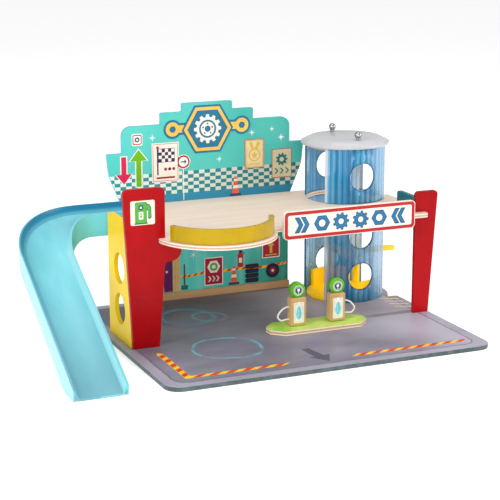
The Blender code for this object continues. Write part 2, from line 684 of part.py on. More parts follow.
def build_island():
    clip = ISLAND_CHAMFER
    outline = rounded([
        (ISLAND_LEFT + clip, ISLAND_FRONT, 0.005), (ISLAND_RIGHT - clip, ISLAND_FRONT, 0.005),
        (ISLAND_RIGHT, ISLAND_FRONT + clip, 0.005), (ISLAND_RIGHT, ISLAND_BACK - clip, 0.005),
        (ISLAND_RIGHT - clip, ISLAND_BACK, 0.005), (ISLAND_LEFT + clip, ISLAND_BACK, 0.005),
        (ISLAND_LEFT, ISLAND_BACK - clip, 0.005), (ISLAND_LEFT, ISLAND_FRONT + clip, 0.005)])
    finish(plate(outline, ISLAND_THICK, at=FLOOR), "pump_island", PLYWOOD)
    top = FLOOR + ISLAND_THICK + GAP
    middle_y = (ISLAND_FRONT + ISLAND_BACK) / 2
    for side, name, x in ((-1, "left", PUMP_X[0]), (1, "right", PUMP_X[1])):
        body = scaled_box((PUMP_WIDTH, PUMP_DEPTH, PUMP_HEIGHT), (x, middle_y, top + PUMP_HEIGHT / 2))
        finish(body, f"pump_body_{name}", PUMP_WOOD)
        bevel(body, PUMP_CHAMFER)
        head_low = top + PUMP_HEIGHT + GAP
        head_z = head_low + HEAD_R - HEAD_FLAT
        head = cylinder(HEAD_R, HEAD_THICK, (x, middle_y, head_z), (math.pi / 2, 0.0, 0.0), 40)
        finish(head, f"pump_head_{name}", GREEN)
        flat = scaled_box((HEAD_R * 2, HEAD_THICK * 2, HEAD_R), (x, middle_y, head_low - HEAD_R / 2))
        boolean(head, as_cutter(flat, f"head_flat_{name}"))
        build_hose(f"pump_hose_{name}", x + side * PUMP_WIDTH / 2, side, middle_y, top)


build_base()
build_back_board()
build_side_panel()
build_left_post()
build_right_post()
build_deck()
build_deck_guards()
build_sign()
build_shells()
build_cap_and_rods()
build_lift_car()
build_ramp()
build_island()
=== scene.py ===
"""Wooden toy garage, dressed: printed and painted boards, plywood, moulded plastic, steel and cord.

Metres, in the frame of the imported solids. Prints are drawn in millimetres on the board's face.
"""

import math

import bmesh
import bpy
from mathutils import Matrix, Vector


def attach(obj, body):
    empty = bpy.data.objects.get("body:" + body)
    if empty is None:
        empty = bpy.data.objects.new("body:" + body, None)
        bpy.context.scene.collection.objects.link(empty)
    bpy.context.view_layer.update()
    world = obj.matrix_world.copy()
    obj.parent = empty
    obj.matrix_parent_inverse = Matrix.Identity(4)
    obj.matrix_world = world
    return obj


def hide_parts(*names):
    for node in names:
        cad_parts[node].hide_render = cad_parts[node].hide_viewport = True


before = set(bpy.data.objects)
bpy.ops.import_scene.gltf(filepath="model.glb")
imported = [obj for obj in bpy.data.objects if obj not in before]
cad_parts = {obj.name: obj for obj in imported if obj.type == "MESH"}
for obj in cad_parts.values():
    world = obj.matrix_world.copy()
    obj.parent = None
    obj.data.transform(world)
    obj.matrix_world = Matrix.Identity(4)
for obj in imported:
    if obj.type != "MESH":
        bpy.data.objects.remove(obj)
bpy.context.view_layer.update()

GROUND = 0.0053               # top of the base board, with the hair of air that pieces stand on
BASE_TOP = 0.005
BOARD = 0.005
SUNK = 0.0003                 # depth of a print inside its board
FILM = 0.00006                # height of the lowest print layer over the board
LAYER = 0.00005               # what each further layer adds
LIFT_X = 0.1416               # the lift's axis
LIFT_Y = 0.1038
BEND_X = -0.2                 # centre and radius of the ramp's bend
BEND_Y = 0.036
BEND_R = 0.0705
WALL_FRONT = 0.1625           # front faces that carry prints, along Y
SIGN_FRONT = -0.0323
POST_FRONT = -0.0223
PUMP_FRONT = -0.030
HEAD_FRONT = -0.028
CHECKS_LOW = 0.1430           # chequered band of the back board, and the size of one check
CHECKS_HIGH = 0.1710
CHECK_LONG = 0.0075
CHECK_TALL = 0.00467
BAY_TOP = 0.1270              # height at which the bay wall's own print ends
SHELL_START = 35.0            # degrees from the lift's X axis at which a shell starts, and what it spans
SHELL_SPAN = 110.0
FLUTES = 13                   # of one shell
WINDOWS = (0.0393, 0.0928, 0.1673)  # heights of the shells' round windows
CHANNEL = 0.0291              # half width of the ramp's floor between its walls
KERB_START = (0.170, 0.139, 1.0)  # middle of the kerb's round corners
DECK_LOW = 0.128              # lower or front faces of the plywood pieces, and what they measure there
RAIL_LOW = 0.1572
ISLAND_THICK = 0.0057
PUMP_THICK = 0.012
STUDIO_Z = -0.0002            # the studio's floor, a hair under the toy
PURE_WHITE = (1.0, 1.0, 1.0, 1.0)


def srgb(red, green, blue):
    """Colour from the usual 0 to 255 values."""
    made = []
    for part in (red, green, blue):
        share = part / 255
        made.append(share / 12.92 if share <= 0.04045 else ((share + 0.055) / 1.055) ** 2.4)
    return (*made, 1.0)


def set_up_camera():
    data = bpy.data.cameras.new("photo_camera")
    data.sensor_width = 36.0
    data.lens = 109.2
    data.clip_start = 0.05
    data.clip_end = 80.0
    camera = bpy.data.objects.new("photo_camera", data)
    camera.location = (-0.7225, -1.6013, 0.5279)
    camera.rotation_euler = (math.radians(76.29), math.radians(0.09), math.radians(-23.27))
    bpy.context.scene.collection.objects.link(camera)
    bpy.context.scene.camera = camera


def soft_light(name, place, aim, size, power):
    data = bpy.data.lights.new(name, "AREA")
    data.shape = "DISK"
    data.size = size
    data.energy = power
    light = bpy.data.objects.new(name, data)
    light.location = place
    light.rotation_mode = "QUATERNION"
    light.rotation_quaternion = (Vector(aim) - Vector(place)).to_track_quat("-Z", "Y")
    bpy.context.scene.collection.objects.link(light)


class Nodes:
    """Short words for wiring the nodes of one tree."""

    def __init__(self, tree):
        self.tree = tree

    def feed(self, socket, value):
        if isinstance(value, bpy.types.NodeSocket):
            self.tree.links.new(value, socket)
        else:
            socket.default_value = value

    def add(self, kind, values=None, **settings):
        """New node. The values go into its inputs, which are given by name or number."""
        made = self.tree.nodes.new(kind)
        for key, value in settings.items():
            setattr(made, key, value)
        for label, value in (values or {}).items():
            self.feed(made.inputs[label], value)
        return made

    def maths(self, operation, *values, clamp=False):
        made = self.add("ShaderNodeMath", dict(enumerate(values)), operation=operation, use_clamp=clamp)
        return made.outputs[0]

    def times(self, first, second):
        return self.maths("MULTIPLY", first, second)

    def plus(self, first, second, clamp=False):
        return self.maths("ADD", first, second, clamp=clamp)

    def minus(self, first, second):
        return self.maths("SUBTRACT", first, second)

    def larger(self, first, second):
        return self.maths("MAXIMUM", first, second)

    def vectors(self, operation, *values):
        made = self.add("ShaderNodeVectorMath", dict(enumerate(values)), operation=operation)
        return made.outputs["Value" if operation in ("LENGTH", "DOT_PRODUCT") else "Vector"]

    def split(self, vector):
        made = self.add("ShaderNodeSeparateXYZ", {0: vector})
        return made.outputs[0], made.outputs[1], made.outputs[2]

    def join(self, x, y, z):
        return self.add("ShaderNodeCombineXYZ", {0: x, 1: y, 2: z}).outputs[0]

    def blend(self, share, first, second, kind="MIX"):
        made = self.add("ShaderNodeMix", {0: share, 6: first, 7: second}, data_type="RGBA", blend_type=kind)
        return made.outputs[2]

    def shaded(self, tone, factor):
        """Tone that a factor near 1 makes darker or lighter."""
        return self.blend(1.0, tone, self.join(factor, factor, factor), "MULTIPLY")

    def noise(self, place, scale, detail=3.0, roughness=0.55):
        made = self.add("ShaderNodeTexNoise", {"Vector": place, "Scale": scale, "Detail": detail,
                                               "Roughness": roughness})
        return made.outputs[0]

    def rise(self, value, low, high, to_low=0.0, to_high=1.0):
        """Value mapped from low..high to to_low..to_high, held at both ends."""
        made = self.add("ShaderNodeMapRange", {"Value": value, "From Min": low, "From Max": high,
                                               "To Min": to_low, "To Max": to_high})
        return made.outputs[0]

    def inside(self, value, low, high, soft):
        """1 where the value lies between low and high, with soft edges."""
        return self.times(self.rise(value, low - soft, low + soft),
                          self.rise(value, high - soft, high + soft, 1.0, 0.0))

    def place(self):
        return self.add("ShaderNodeTexCoord").outputs["Object"]

    def facing(self):
        return self.split(self.add("ShaderNodeNewGeometry").outputs["Normal"])

    def group(self, tree, **values):
        named = {label.replace("_", " "): value for label, value in values.items()}
        return self.add("ShaderNodeGroup", named, node_tree=tree).outputs

    def bump(self, height, strength, distance, normal=None):
        values = {"Height": height, "Strength": strength, "Distance": distance}
        if normal is not None:
            values["Normal"] = normal
        return self.add("ShaderNodeBump", values).outputs[0]


class Finish(Nodes):
    """One material. Its Principled shader takes the colour, roughness and normal mixed in the tree."""

    def __init__(self, name, roughness=0.5, metallic=0.0, coat=0.0, shine=0.25):
        self.material = bpy.data.materials.new(name)
        self.material.use_nodes = True
        super().__init__(self.material.node_tree)
        self.shader = self.tree.nodes["Principled BSDF"]
        self.fix({"Roughness": roughness, "Metallic": metallic, "Coat Weight": coat, "IOR": 1.5,
                  "Specular IOR Level": shine})

    def fix(self, values):
        """Sets what is the same all over the surface on the shader's own sockets."""
        for label, value in values.items():
            self.shader.inputs[label].default_value = value

    def put(self, colour=None, roughness=None, normal=None):
        for label, value in (("Base Color", colour), ("Roughness", roughness), ("Normal", normal)):
            if value is not None:
                self.feed(self.shader.inputs[label], value)
        return self.material


SOCKETS = {"value": "NodeSocketFloat", "count": "NodeSocketInt", "colour": "NodeSocketColor",
           "vector": "NodeSocketVector", "material": "NodeSocketMaterial", "geometry": "NodeSocketGeometry"}


def new_group(name, inputs, outputs, kind="ShaderNodeTree"):
    """Empty node group with its sockets. Gives its wiring words, its input sockets and its output sockets."""
    tree = bpy.data.node_groups.new(name, kind)
    for label, sort, value in inputs:
        socket = tree.interface.new_socket(label, in_out="INPUT", socket_type=SOCKETS[sort])
        if value is not None:
            socket.default_value = value
    for label, sort in outputs:
        tree.interface.new_socket(label, in_out="OUTPUT", socket_type=SOCKETS[sort])
    words = Nodes(tree)
    return words, words.add("NodeGroupInput").outputs, words.add("NodeGroupOutput").inputs


def make_paint_film():
    """Film of paint or varnish: two tones that drift into each other, a fine orange peel and uneven gloss."""
    words, given, out = new_group(
        "paint_film",
        [("Place", "vector", None), ("Colour", "colour", None), ("Shade", "colour", None),
         ("Drift Scale", "value", 14.0), ("Drift", "value", 0.5), ("Gloss", "value", 0.4)],
        [("Colour", "colour"), ("Roughness", "value"), ("Height", "value")])
    drift = words.noise(given["Place"], given["Drift Scale"], 4.0, 0.6)
    drift = words.times(words.rise(drift, 0.32, 0.68), given["Drift"])
    grain = words.noise(given["Place"], 900.0, 2.0, 0.5)
    tone = words.blend(drift, given["Colour"], given["Shade"])
    words.feed(out["Colour"], words.shaded(tone, words.rise(grain, 0.35, 0.65, 0.965, 1.035)))
    smear = words.noise(given["Place"], 45.0, 3.0, 0.6)
    words.feed(out["Roughness"], words.times(given["Gloss"], words.rise(smear, 0.3, 0.7, 0.82, 1.2)))
    peel = words.noise(given["Place"], 420.0, 2.0, 0.5)
    words.feed(out["Height"], words.plus(peel, words.times(grain, 0.3)))
    return words.tree


def make_edge_wear():
    """Mask of the rubbed edges and corners of a board, with the normal that rounds them."""
    words, given, out = new_group(
        "edge_wear",
        [("Place", "vector", None), ("Radius", "value", 0.0009), ("Amount", "value", 0.5)],
        [("Mask", "value"), ("Normal", "vector")])
    soft = words.add("ShaderNodeBevel", {"Radius": given["Radius"]}, samples=4)
    plain = words.add("ShaderNodeNewGeometry").outputs["Normal"]
    turn = words.minus(1.0, words.vectors("DOT_PRODUCT", soft.outputs[0], plain))
    patch = words.rise(words.noise(given["Place"], 160.0, 4.0, 0.65), 0.42, 0.62)
    mask = words.times(words.rise(turn, 0.03, 0.2), words.times(patch, given["Amount"]))
    words.feed(out["Mask"], mask)
    words.feed(out["Normal"], soft.outputs[0])
    return words.tree


def make_wood_grain():
    """Sliced wood: growth bands, fibres and short pores, stretched along the grain."""
    words, given, out = new_group(
        "wood_grain",
        [("Place", "vector", None), ("Light", "colour", None), ("Dark", "colour", None),
         ("Stretch", "vector", (8.0, 90.0, 90.0)), ("Depth", "value", 0.6)],
        [("Colour", "colour"), ("Height", "value")])
    laid = words.vectors("MULTIPLY", given["Place"], given["Stretch"])
    bands = words.noise(laid, 0.55, 2.0, 0.5)
    bands = words.maths("PINGPONG", words.times(bands, 7.0), 1.0)
    fibres = words.noise(laid, 4.5, 5.0, 0.65)
    pores = words.rise(words.noise(laid, 14.0, 2.0, 0.5), 0.60, 0.72)
    share = words.plus(words.times(bands, 0.45), words.times(fibres, 0.55))
    share = words.times(words.rise(share, 0.2, 0.8), given["Depth"])
    share = words.plus(share, words.times(pores, 0.25), clamp=True)
    words.feed(out["Colour"], words.blend(share, given["Light"], given["Dark"]))
    words.feed(out["Height"], words.minus(fibres, pores))
    return words.tree


def make_ply_layers():
    """Cut edge of plywood, from 0 at one face to 1 at the other: layers along and across, and glue lines."""
    words, given, out = new_group(
        "ply_layers",
        [("Place", "vector", None), ("Across", "value", 0.5), ("Layers", "value", 5.0),
         ("Light", "colour", None), ("Dark", "colour", None)],
        [("Colour", "colour"), ("Height", "value")])
    wander = words.times(words.noise(given["Place"], 60.0, 2.0, 0.5), 0.06)
    count = words.times(words.plus(given["Across"], wander), given["Layers"])
    layer = words.maths("FLOOR", count)
    end_grain = words.maths("GREATER_THAN", words.maths("FRACT", words.times(layer, 0.5)), 0.25)
    within = words.maths("FRACT", count)
    glue = words.maths("GREATER_THAN", words.maths("ABSOLUTE", words.minus(within, 0.5)), 0.44)
    pits = words.noise(given["Place"], 1400.0, 2.0, 0.6)
    share = words.times(end_grain, words.rise(pits, 0.3, 0.7, 0.55, 1.0))
    share = words.larger(share, words.times(glue, 0.8))
    words.feed(out["Colour"], words.blend(share, given["Light"], given["Dark"]))
    words.feed(out["Height"], words.minus(words.times(pits, end_grain), glue))
    return words.tree


PAINT_FILM = make_paint_film()
EDGE_WEAR = make_edge_wear()
WOOD_GRAIN = make_wood_grain()
PLY_LAYERS = make_ply_layers()


def painted_board(name, colour, shade, bare, gloss, drift=0.5, drift_scale=14.0, shine=0.18):
    """Satin paint on a board, rubbed through to the bare colour along its edges; on the red posts that pale
    edge also stands in for a painted highlight.
    """
    made = Finish(name, coat=0.04, shine=shine)
    place = made.place()
    film = made.group(PAINT_FILM, Place=place, Colour=colour, Shade=shade, Drift_Scale=drift_scale,
                      Drift=drift, Gloss=gloss)
    worn = made.group(EDGE_WEAR, Place=place, Amount=0.5)
    tone = made.blend(worn["Mask"], film["Colour"], bare)
    rough = made.plus(film["Roughness"], made.times(worn["Mask"], 0.25))
    return made.put(tone, rough, made.bump(film["Height"], 0.12, 0.00015, worn["Normal"]))


def ink(name, colour):
    """Printing ink of one colour that thins and thickens a little."""
    made = Finish(f"ink_{name}")
    darker = srgb(*[part * 0.86 for part in colour])
    film = made.group(PAINT_FILM, Place=made.place(), Colour=srgb(*colour), Shade=darker, Drift_Scale=70.0,
                      Drift=0.55, Gloss=0.42)
    return made.put(film["Colour"], film["Roughness"], made.bump(film["Height"], 0.06, 0.0001))


def moulded(name, colour, shade, gloss, texture=0.08, glow=0.0):
    """Moulded plastic: an even colour with slow flow marks and a fine skin; glow gives it a painted glow,
    emission though it is no lamp.
    """
    made = Finish(name, coat=0.2)
    # Painted glow: emission of the part's own colour where glow is given
    made.fix({"Emission Color": colour, "Emission Strength": glow})
    place = made.place()
    film = made.group(PAINT_FILM, Place=place, Colour=colour, Shade=shade, Drift_Scale=20.0, Drift=0.35,
                      Gloss=gloss)
    edge = made.group(EDGE_WEAR, Place=place, Radius=0.0005, Amount=0.25)
    tone = made.blend(edge["Mask"], film["Colour"], PURE_WHITE, "SOFT_LIGHT")
    return made.put(tone, film["Roughness"], made.bump(film["Height"], texture, 0.00012, edge["Normal"]))


def plywood(name, light, dark, edge_dark, stretch, axis, low, thick, layers, top=None):
    """Clear varnished plywood. Faces that lie across the axis show grain, the cut edges show layers."""
    made = Finish(name, roughness=0.45, coat=0.1)
    place = made.place()
    grain = made.group(WOOD_GRAIN, Place=place, Light=light, Dark=dark, Stretch=stretch, Depth=0.55)
    across = made.maths("DIVIDE", made.minus(made.split(place)[axis], low), thick)
    layered = made.group(PLY_LAYERS, Place=place, Across=across, Layers=layers, Light=light, Dark=edge_dark)
    turned = made.facing()[axis]
    is_face = made.rise(made.maths("ABSOLUTE", turned), 0.6, 0.8)
    face = grain["Colour"]
    if top is not None:
        film = made.group(PAINT_FILM, Place=place, Colour=top[0], Shade=top[1], Drift_Scale=30.0, Drift=0.8,
                          Gloss=0.4)
        face = made.blend(made.rise(turned, 0.6, 0.8), face, film["Colour"])
    tone = made.blend(is_face, layered["Colour"], face)
    worn = made.group(EDGE_WEAR, Place=place, Radius=0.0006, Amount=0.35)
    tone = made.blend(worn["Mask"], tone, edge_dark)
    height = made.plus(made.times(grain["Height"], is_face), layered["Height"])
    return made.put(tone, made.rise(grain["Height"], 0.0, 1.0, 0.42, 0.56),
                    made.bump(height, 0.18, 0.00012, worn["Normal"]))


def drawn_rings(made, place, tone):
    """Worn blue rings drawn on the road: (middle, radius, half width, colour, strength)."""
    for centre, radius, wide, colour, strength in (
            ((-0.088, -0.058), 0.040, 0.0018, (120, 196, 222), 0.75),
            ((-0.088, -0.058), 0.036, 0.0006, (90, 150, 190), 0.6),
            ((-0.085, 0.079), 0.033, 0.0035, (96, 170, 205), 0.5),
            ((-0.060, 0.070), 0.020, 0.0022, (120, 190, 215), 0.45)):
        offset = made.vectors("ADD", place, (-centre[0], -centre[1], 0.0))
        away = made.vectors("LENGTH", made.vectors("MULTIPLY", offset, (1.0, 1.0, 0.0)))
        sway = made.times(made.minus(made.noise(place, 26.0, 2.0, 0.5), 0.5), 0.012)
        ring = made.inside(made.plus(away, sway), radius - wide, radius + wide, 0.0007)
        gaps = made.rise(made.noise(place, 55.0, 2.0, 0.6), 0.38, 0.55, 0.25, 1.0)
        tone = made.blend(made.times(ring, made.times(gaps, strength)), tone, srgb(*colour))
    return tone


def printed_asphalt():
    """Base board: mottled road print with a paler kerb round it, dark sealed edges and plain ply below."""
    made = Finish("printed_asphalt", coat=0.06)
    place = made.place()
    x, y, _ = made.split(place)
    clouds = made.noise(made.vectors("MULTIPLY", place, (7.0, 16.0, 16.0)), 1.0, 4.0, 0.6)
    violet = made.noise(made.vectors("ADD", place, (3.1, 1.7, 0.0)), 13.0, 3.0, 0.6)
    tone = made.blend(made.rise(clouds, 0.34, 0.66), srgb(118, 113, 128), srgb(146, 142, 158))
    tone = made.blend(made.rise(violet, 0.5, 0.75, 0.0, 0.5), tone, srgb(128, 118, 152))
    # Paler at the right, round the lift; darker at the back of the bay, a painted shade under the deck
    far = made.rise(made.plus(x, made.times(y, 0.5)), 0.03, 0.11)
    tone = made.blend(made.times(far, 0.75), tone, srgb(190, 186, 202))
    # Painted shade: the back of the bay under the deck is darkened
    bay = made.times(made.rise(y, 0.04, 0.13), made.rise(x, -0.01, 0.06, 0.6, 0.0))
    tone = made.blend(bay, tone, srgb(66, 64, 72))
    grit = made.noise(place, 620.0, 2.0, 0.6)
    tone = made.shaded(tone, made.rise(grit, 0.3, 0.7, 0.90, 1.10))
    reach = made.vectors("SUBTRACT", made.vectors("ABSOLUTE", place), KERB_START)
    reach = made.vectors("LENGTH", made.vectors("MAXIMUM", reach, (0.0, 0.0, 0.0)))
    brush = made.times(made.minus(made.noise(place, 90.0, 3.0, 0.6), 0.5), 0.004)
    rim = made.plus(reach, brush)
    kerb = made.blend(made.rise(clouds, 0.3, 0.7), srgb(150, 146, 162), srgb(176, 172, 188))
    tone = made.blend(made.inside(rim, 0.0150, 0.0170, 0.0006), tone, srgb(108, 104, 122))
    tone = made.blend(made.rise(rim, 0.0164, 0.0186), tone, kerb)
    tone = drawn_rings(made, place, tone)
    lane = made.times(made.inside(y, -0.0135, -0.0025, 0.0008), made.rise(x, 0.10, 0.13))
    tone = made.blend(made.times(lane, 0.6), tone, srgb(96, 93, 104))
    nz = made.facing()[2]
    cut = made.blend(made.rise(made.noise(place, 120.0, 3.0, 0.6), 0.35, 0.65), srgb(66, 82, 84),
                     srgb(92, 104, 108))
    tone = made.blend(made.rise(nz, 0.6, 0.8), cut, tone)
    under = made.group(WOOD_GRAIN, Place=place, Light=srgb(226, 200, 164), Dark=srgb(196, 160, 118),
                       Stretch=(8.0, 90.0, 90.0), Depth=0.6)
    tone = made.blend(made.rise(nz, -0.8, -0.6, 1.0, 0.0), tone, under["Colour"])
    worn = made.group(EDGE_WEAR, Place=place, Radius=0.0011, Amount=0.4)
    tone = made.blend(worn["Mask"], tone, srgb(206, 204, 210))
    rough = made.rise(grit, 0.3, 0.7, 0.34, 0.52)
    return made.put(tone, rough, made.bump(grit, 0.15, 0.00012, worn["Normal"]))


def printed_wall():
    """Back board: turquoise print with a chequered band, a plain blue band and a darker bay wall below."""
    made = Finish("printed_wall", coat=0.05)
    place = made.place()
    x, _, z = made.split(place)
    # Darker towards the lift on the right: partly the print's own tone, partly a painted shade near the tube
    sweep = made.rise(x, -0.15, 0.11)
    upper = made.blend(sweep, srgb(82, 202, 194), srgb(38, 142, 132))
    glow = made.noise(made.vectors("MULTIPLY", place, (9.0, 9.0, 5.0)), 1.0, 2.0, 0.5)
    upper = made.blend(made.rise(glow, 0.4, 0.7, 0.0, 0.35), upper, srgb(112, 222, 210))
    column = made.maths("FLOOR", made.maths("DIVIDE", made.plus(x, 0.2), CHECK_LONG))
    row = made.maths("FLOOR", made.maths("DIVIDE", made.minus(z, CHECKS_LOW), CHECK_TALL))
    parity = made.maths("FRACT", made.times(made.plus(column, row), 0.5))
    white = made.blend(sweep, srgb(236, 246, 240), srgb(180, 184, 160))
    blue = made.blend(sweep, srgb(46, 152, 162), srgb(28, 102, 108))
    checks = made.blend(made.maths("GREATER_THAN", parity, 0.25), blue, white)
    tone = made.blend(made.inside(z, CHECKS_LOW, CHECKS_HIGH, 0.0001), upper, checks)
    band = made.blend(sweep, srgb(52, 152, 184), srgb(36, 118, 150))
    tone = made.blend(made.rise(z, CHECKS_LOW - 0.0001, CHECKS_LOW + 0.0001, 1.0, 0.0), tone, band)
    wall = made.blend(made.rise(x, -0.10, 0.09), srgb(102, 230, 222), srgb(44, 144, 128))
    rays = made.noise(made.vectors("MULTIPLY", place, (70.0, 1.0, 7.0)), 1.0, 2.0, 0.5)
    wall = made.blend(made.rise(rays, 0.5, 0.7, 0.0, 0.35), wall, srgb(150, 232, 224))
    tone = made.blend(made.rise(z, BAY_TOP - 0.0001, BAY_TOP + 0.0001, 1.0, 0.0), tone, wall)
    ny = made.facing()[1]
    edge = made.blend(glow, srgb(70, 180, 190), srgb(92, 200, 204))
    tone = made.blend(made.rise(ny, -0.8, -0.6, 1.0, 0.0), edge, tone)
    back = made.blend(made.rise(glow, 0.35, 0.65), srgb(86, 204, 196), srgb(68, 184, 180))
    tone = made.blend(made.rise(ny, 0.6, 0.8), tone, back)
    film = made.group(PAINT_FILM, Place=place, Colour=tone, Shade=tone, Gloss=0.40)
    worn = made.group(EDGE_WEAR, Place=place, Radius=0.0008, Amount=0.45)
    tone = made.blend(worn["Mask"], film["Colour"], srgb(214, 232, 226))
    return made.put(tone, film["Roughness"], made.bump(film["Height"], 0.08, 0.00012, worn["Normal"]))


def tube_plastic():
    """See-through blue plastic of the lift tube: flutes with a painted highlight on their ridges and painted
    shade in their valleys, painted light to the right and under the deck, dark rims round the windows, and
    cut edges with a painted highlight on the front shell and painted shade on the back.
    """
    made = Finish("clear_blue_plastic", roughness=0.12, coat=0.25, shine=0.5)
    place = made.place()
    x, y, z = made.split(place)
    round_x = made.minus(x, LIFT_X)
    turn = made.maths("ABSOLUTE", made.maths("ARCTAN2", made.minus(y, LIFT_Y), round_x))
    turn = made.times(turn, 180 / math.pi)
    flute = made.maths("FRACT", made.maths("DIVIDE", made.minus(turn, SHELL_START), SHELL_SPAN / FLUTES))
    flute = made.maths("ABSOLUTE", made.minus(flute, 0.5))
    valley = made.rise(flute, 0.34, 0.44)
    ridge_highlight = made.rise(flute, 0.04, 0.22, 1.0, 0.0)
    around = made.join(made.times(turn, 0.06), made.times(y, 3.0), 0.0)
    bands = made.noise(around, 1.0, 2.0, 0.5)
    streaks = made.noise(made.join(made.times(turn, 0.3), made.times(y, 9.0), 4.0), 1.0)
    tone = made.blend(made.rise(bands, 0.4, 0.6), srgb(0, 114, 166), srgb(48, 162, 210))
    # Lighter towards the right, a painted light where light passes through the tube
    tone = made.blend(made.rise(x, 0.145, 0.19), tone, srgb(110, 182, 226))
    # Pale streaks on the flute ridges, a painted highlight, weaker on the left
    ridge_highlight = made.times(ridge_highlight, made.rise(streaks, 0.42, 0.62, 0.02, 0.55))
    ridge_highlight = made.times(ridge_highlight, made.rise(x, 0.13, 0.165, 0.4, 1.0))
    tone = made.blend(ridge_highlight, tone, srgb(160, 214, 238))
    # Darker lines in the flute valleys, a painted shade
    valley = made.times(valley, made.rise(streaks, 0.4, 0.6, 0.9, 0.5))
    tone = made.blend(valley, tone, srgb(0, 88, 140))
    low = made.rise(z, 0.005, 0.05, 0.6, 0.0)
    tone = made.blend(low, tone, srgb(0, 108, 150))
    solid = made.plus(made.rise(bands, 0.4, 0.6, 0.84, 0.66), made.times(valley, 0.16))
    # Thinner to the right and under the deck, painted light that lightens the shell there
    solid = made.times(solid, made.rise(x, 0.145, 0.19, 1.0, 0.66))
    solid = made.times(solid, made.rise(z, 0.120, 0.132, 0.84, 1.0))
    solid = made.plus(solid, made.rise(z, 0.010, 0.045, 0.22, 0.0))
    # Cut edges and shell ends: pale on the front shell as a painted highlight, deep blue on the back shell as
    # a painted shade
    front = made.rise(y, LIFT_Y - 0.001, LIFT_Y + 0.001, 1.0, 0.0)
    lip = made.larger(made.rise(turn, 38.6, 39.2, 0.8, 0.0), made.rise(turn, 140.8, 141.4, 0.0, 0.8))
    tone = made.blend(lip, tone, made.blend(front, srgb(0, 92, 146), srgb(228, 222, 226)))
    edge_highlight_and_shade = made.blend(front, srgb(14, 100, 156), srgb(206, 226, 236))
    rims = made.inside(z, 0.1268, 0.1342, 0.0003)
    for height in WINDOWS:
        away = made.vectors("LENGTH", made.join(round_x, made.minus(z, height), 0.0))
        rims = made.larger(rims, made.inside(away, 0.0150, 0.0181, 0.0002))
    tone = made.blend(made.times(rims, 0.65), tone, srgb(8, 76, 124))
    ends = made.larger(made.rise(turn, SHELL_START + 0.15, SHELL_START + 0.35, 1.0, 0.0),
                       made.rise(turn, SHELL_START + SHELL_SPAN - 0.35, SHELL_START + SHELL_SPAN - 0.15))
    tone = made.blend(ends, tone, edge_highlight_and_shade)
    solid = made.plus(solid, made.times(made.larger(ends, rims), 0.35), clamp=True)
    # Clear plastic throws only a thin shadow, so the lift car inside stays bright
    rays = made.add("ShaderNodeLightPath").outputs
    passing = made.larger(rays["Is Shadow Ray"], rays["Is Diffuse Ray"])
    solid = made.times(solid, made.minus(1.0, made.times(passing, 0.75)))
    made.feed(made.shader.inputs["Alpha"], solid)
    film = made.noise(place, 300.0, 2.0, 0.5)
    return made.put(tone, made.rise(film, 0.3, 0.7, 0.08, 0.18), made.bump(film, 0.05, 0.0001))


def ramp_plastic():
    """Ramp: pale cyan floor and skirts; skirts facing left paler as a painted light, and the inner faces of
    its walls and the floor at their foot deeper as a painted shade.
    """
    made = Finish("ramp_plastic", coat=0.15)
    place = made.place()
    x, y, z = made.split(place)
    back = made.maths("MINIMUM", made.minus(x, BEND_X), 0.0)
    side = made.larger(made.minus(y, BEND_Y), 0.0)
    away = made.vectors("LENGTH", made.join(back, side, 0.0))
    offset = made.maths("ABSOLUTE", made.minus(away, BEND_R))
    nx, _, nz = made.facing()
    upright = made.rise(made.maths("ABSOLUTE", nz), 0.5, 0.7, 1.0, 0.0)
    # Inner faces of the walls, made deeper as a painted shade, bluer towards their top
    inner = made.times(upright, made.rise(offset, CHANNEL, CHANNEL + 0.0005, 1.0, 0.0))
    outer_half = made.rise(made.minus(away, BEND_R), 0.0, 0.001)
    flow = made.noise(made.vectors("MULTIPLY", place, (22.0, 6.0, 9.0)), 1.0, 3.0, 0.6)
    floor = made.blend(made.rise(flow, 0.35, 0.65), srgb(104, 190, 204), srgb(128, 206, 218))
    floor = made.blend(made.rise(z, 0.012, 0.09, 0.75, 0.0), floor, srgb(96, 150, 164))
    # Skirts that face left, made paler as a painted light
    painted_skirt_light = made.times(upright, made.rise(made.times(nx, -1.0), 0.4, 0.9))
    floor = made.blend(made.times(upright, 0.8), floor, srgb(108, 206, 212))
    floor = made.blend(painted_skirt_light, floor, srgb(158, 216, 222))
    wall = made.blend(made.rise(z, 0.03, 0.14), srgb(104, 164, 186), srgb(4, 116, 152))
    # Band of floor along the walls' foot, darker as a painted shade where a sloped wall face would be
    foot = made.times(made.rise(offset, 0.0208, 0.0238, 0.0, 0.7), made.rise(nz, 0.5, 0.8))
    foot = made.times(foot, made.rise(offset, CHANNEL, CHANNEL + 0.0005, 1.0, 0.0))
    deep = made.times(made.larger(inner, foot), outer_half)
    tone = made.blend(deep, floor, wall)
    film = made.group(PAINT_FILM, Place=place, Colour=tone, Shade=tone, Gloss=0.34)
    edge = made.group(EDGE_WEAR, Place=place, Radius=0.0006, Amount=0.3)
    tone = made.blend(edge["Mask"], film["Colour"], srgb(214, 246, 250))
    return made.put(tone, film["Roughness"], made.bump(film["Height"], 0.1, 0.00012, edge["Normal"]))


def turned_steel(name, dark, light, smooth, rough):
    """Steel with fine turning lines round its axis."""
    made = Finish(name, metallic=1.0)
    place = made.place()
    lines = made.noise(made.vectors("MULTIPLY", place, (30.0, 30.0, 900.0)), 1.0, 3.0, 0.6)
    tone = made.blend(lines, dark, light)
    return made.put(tone, made.rise(lines, 0.3, 0.7, smooth, rough), made.bump(lines, 0.04, 0.00005))


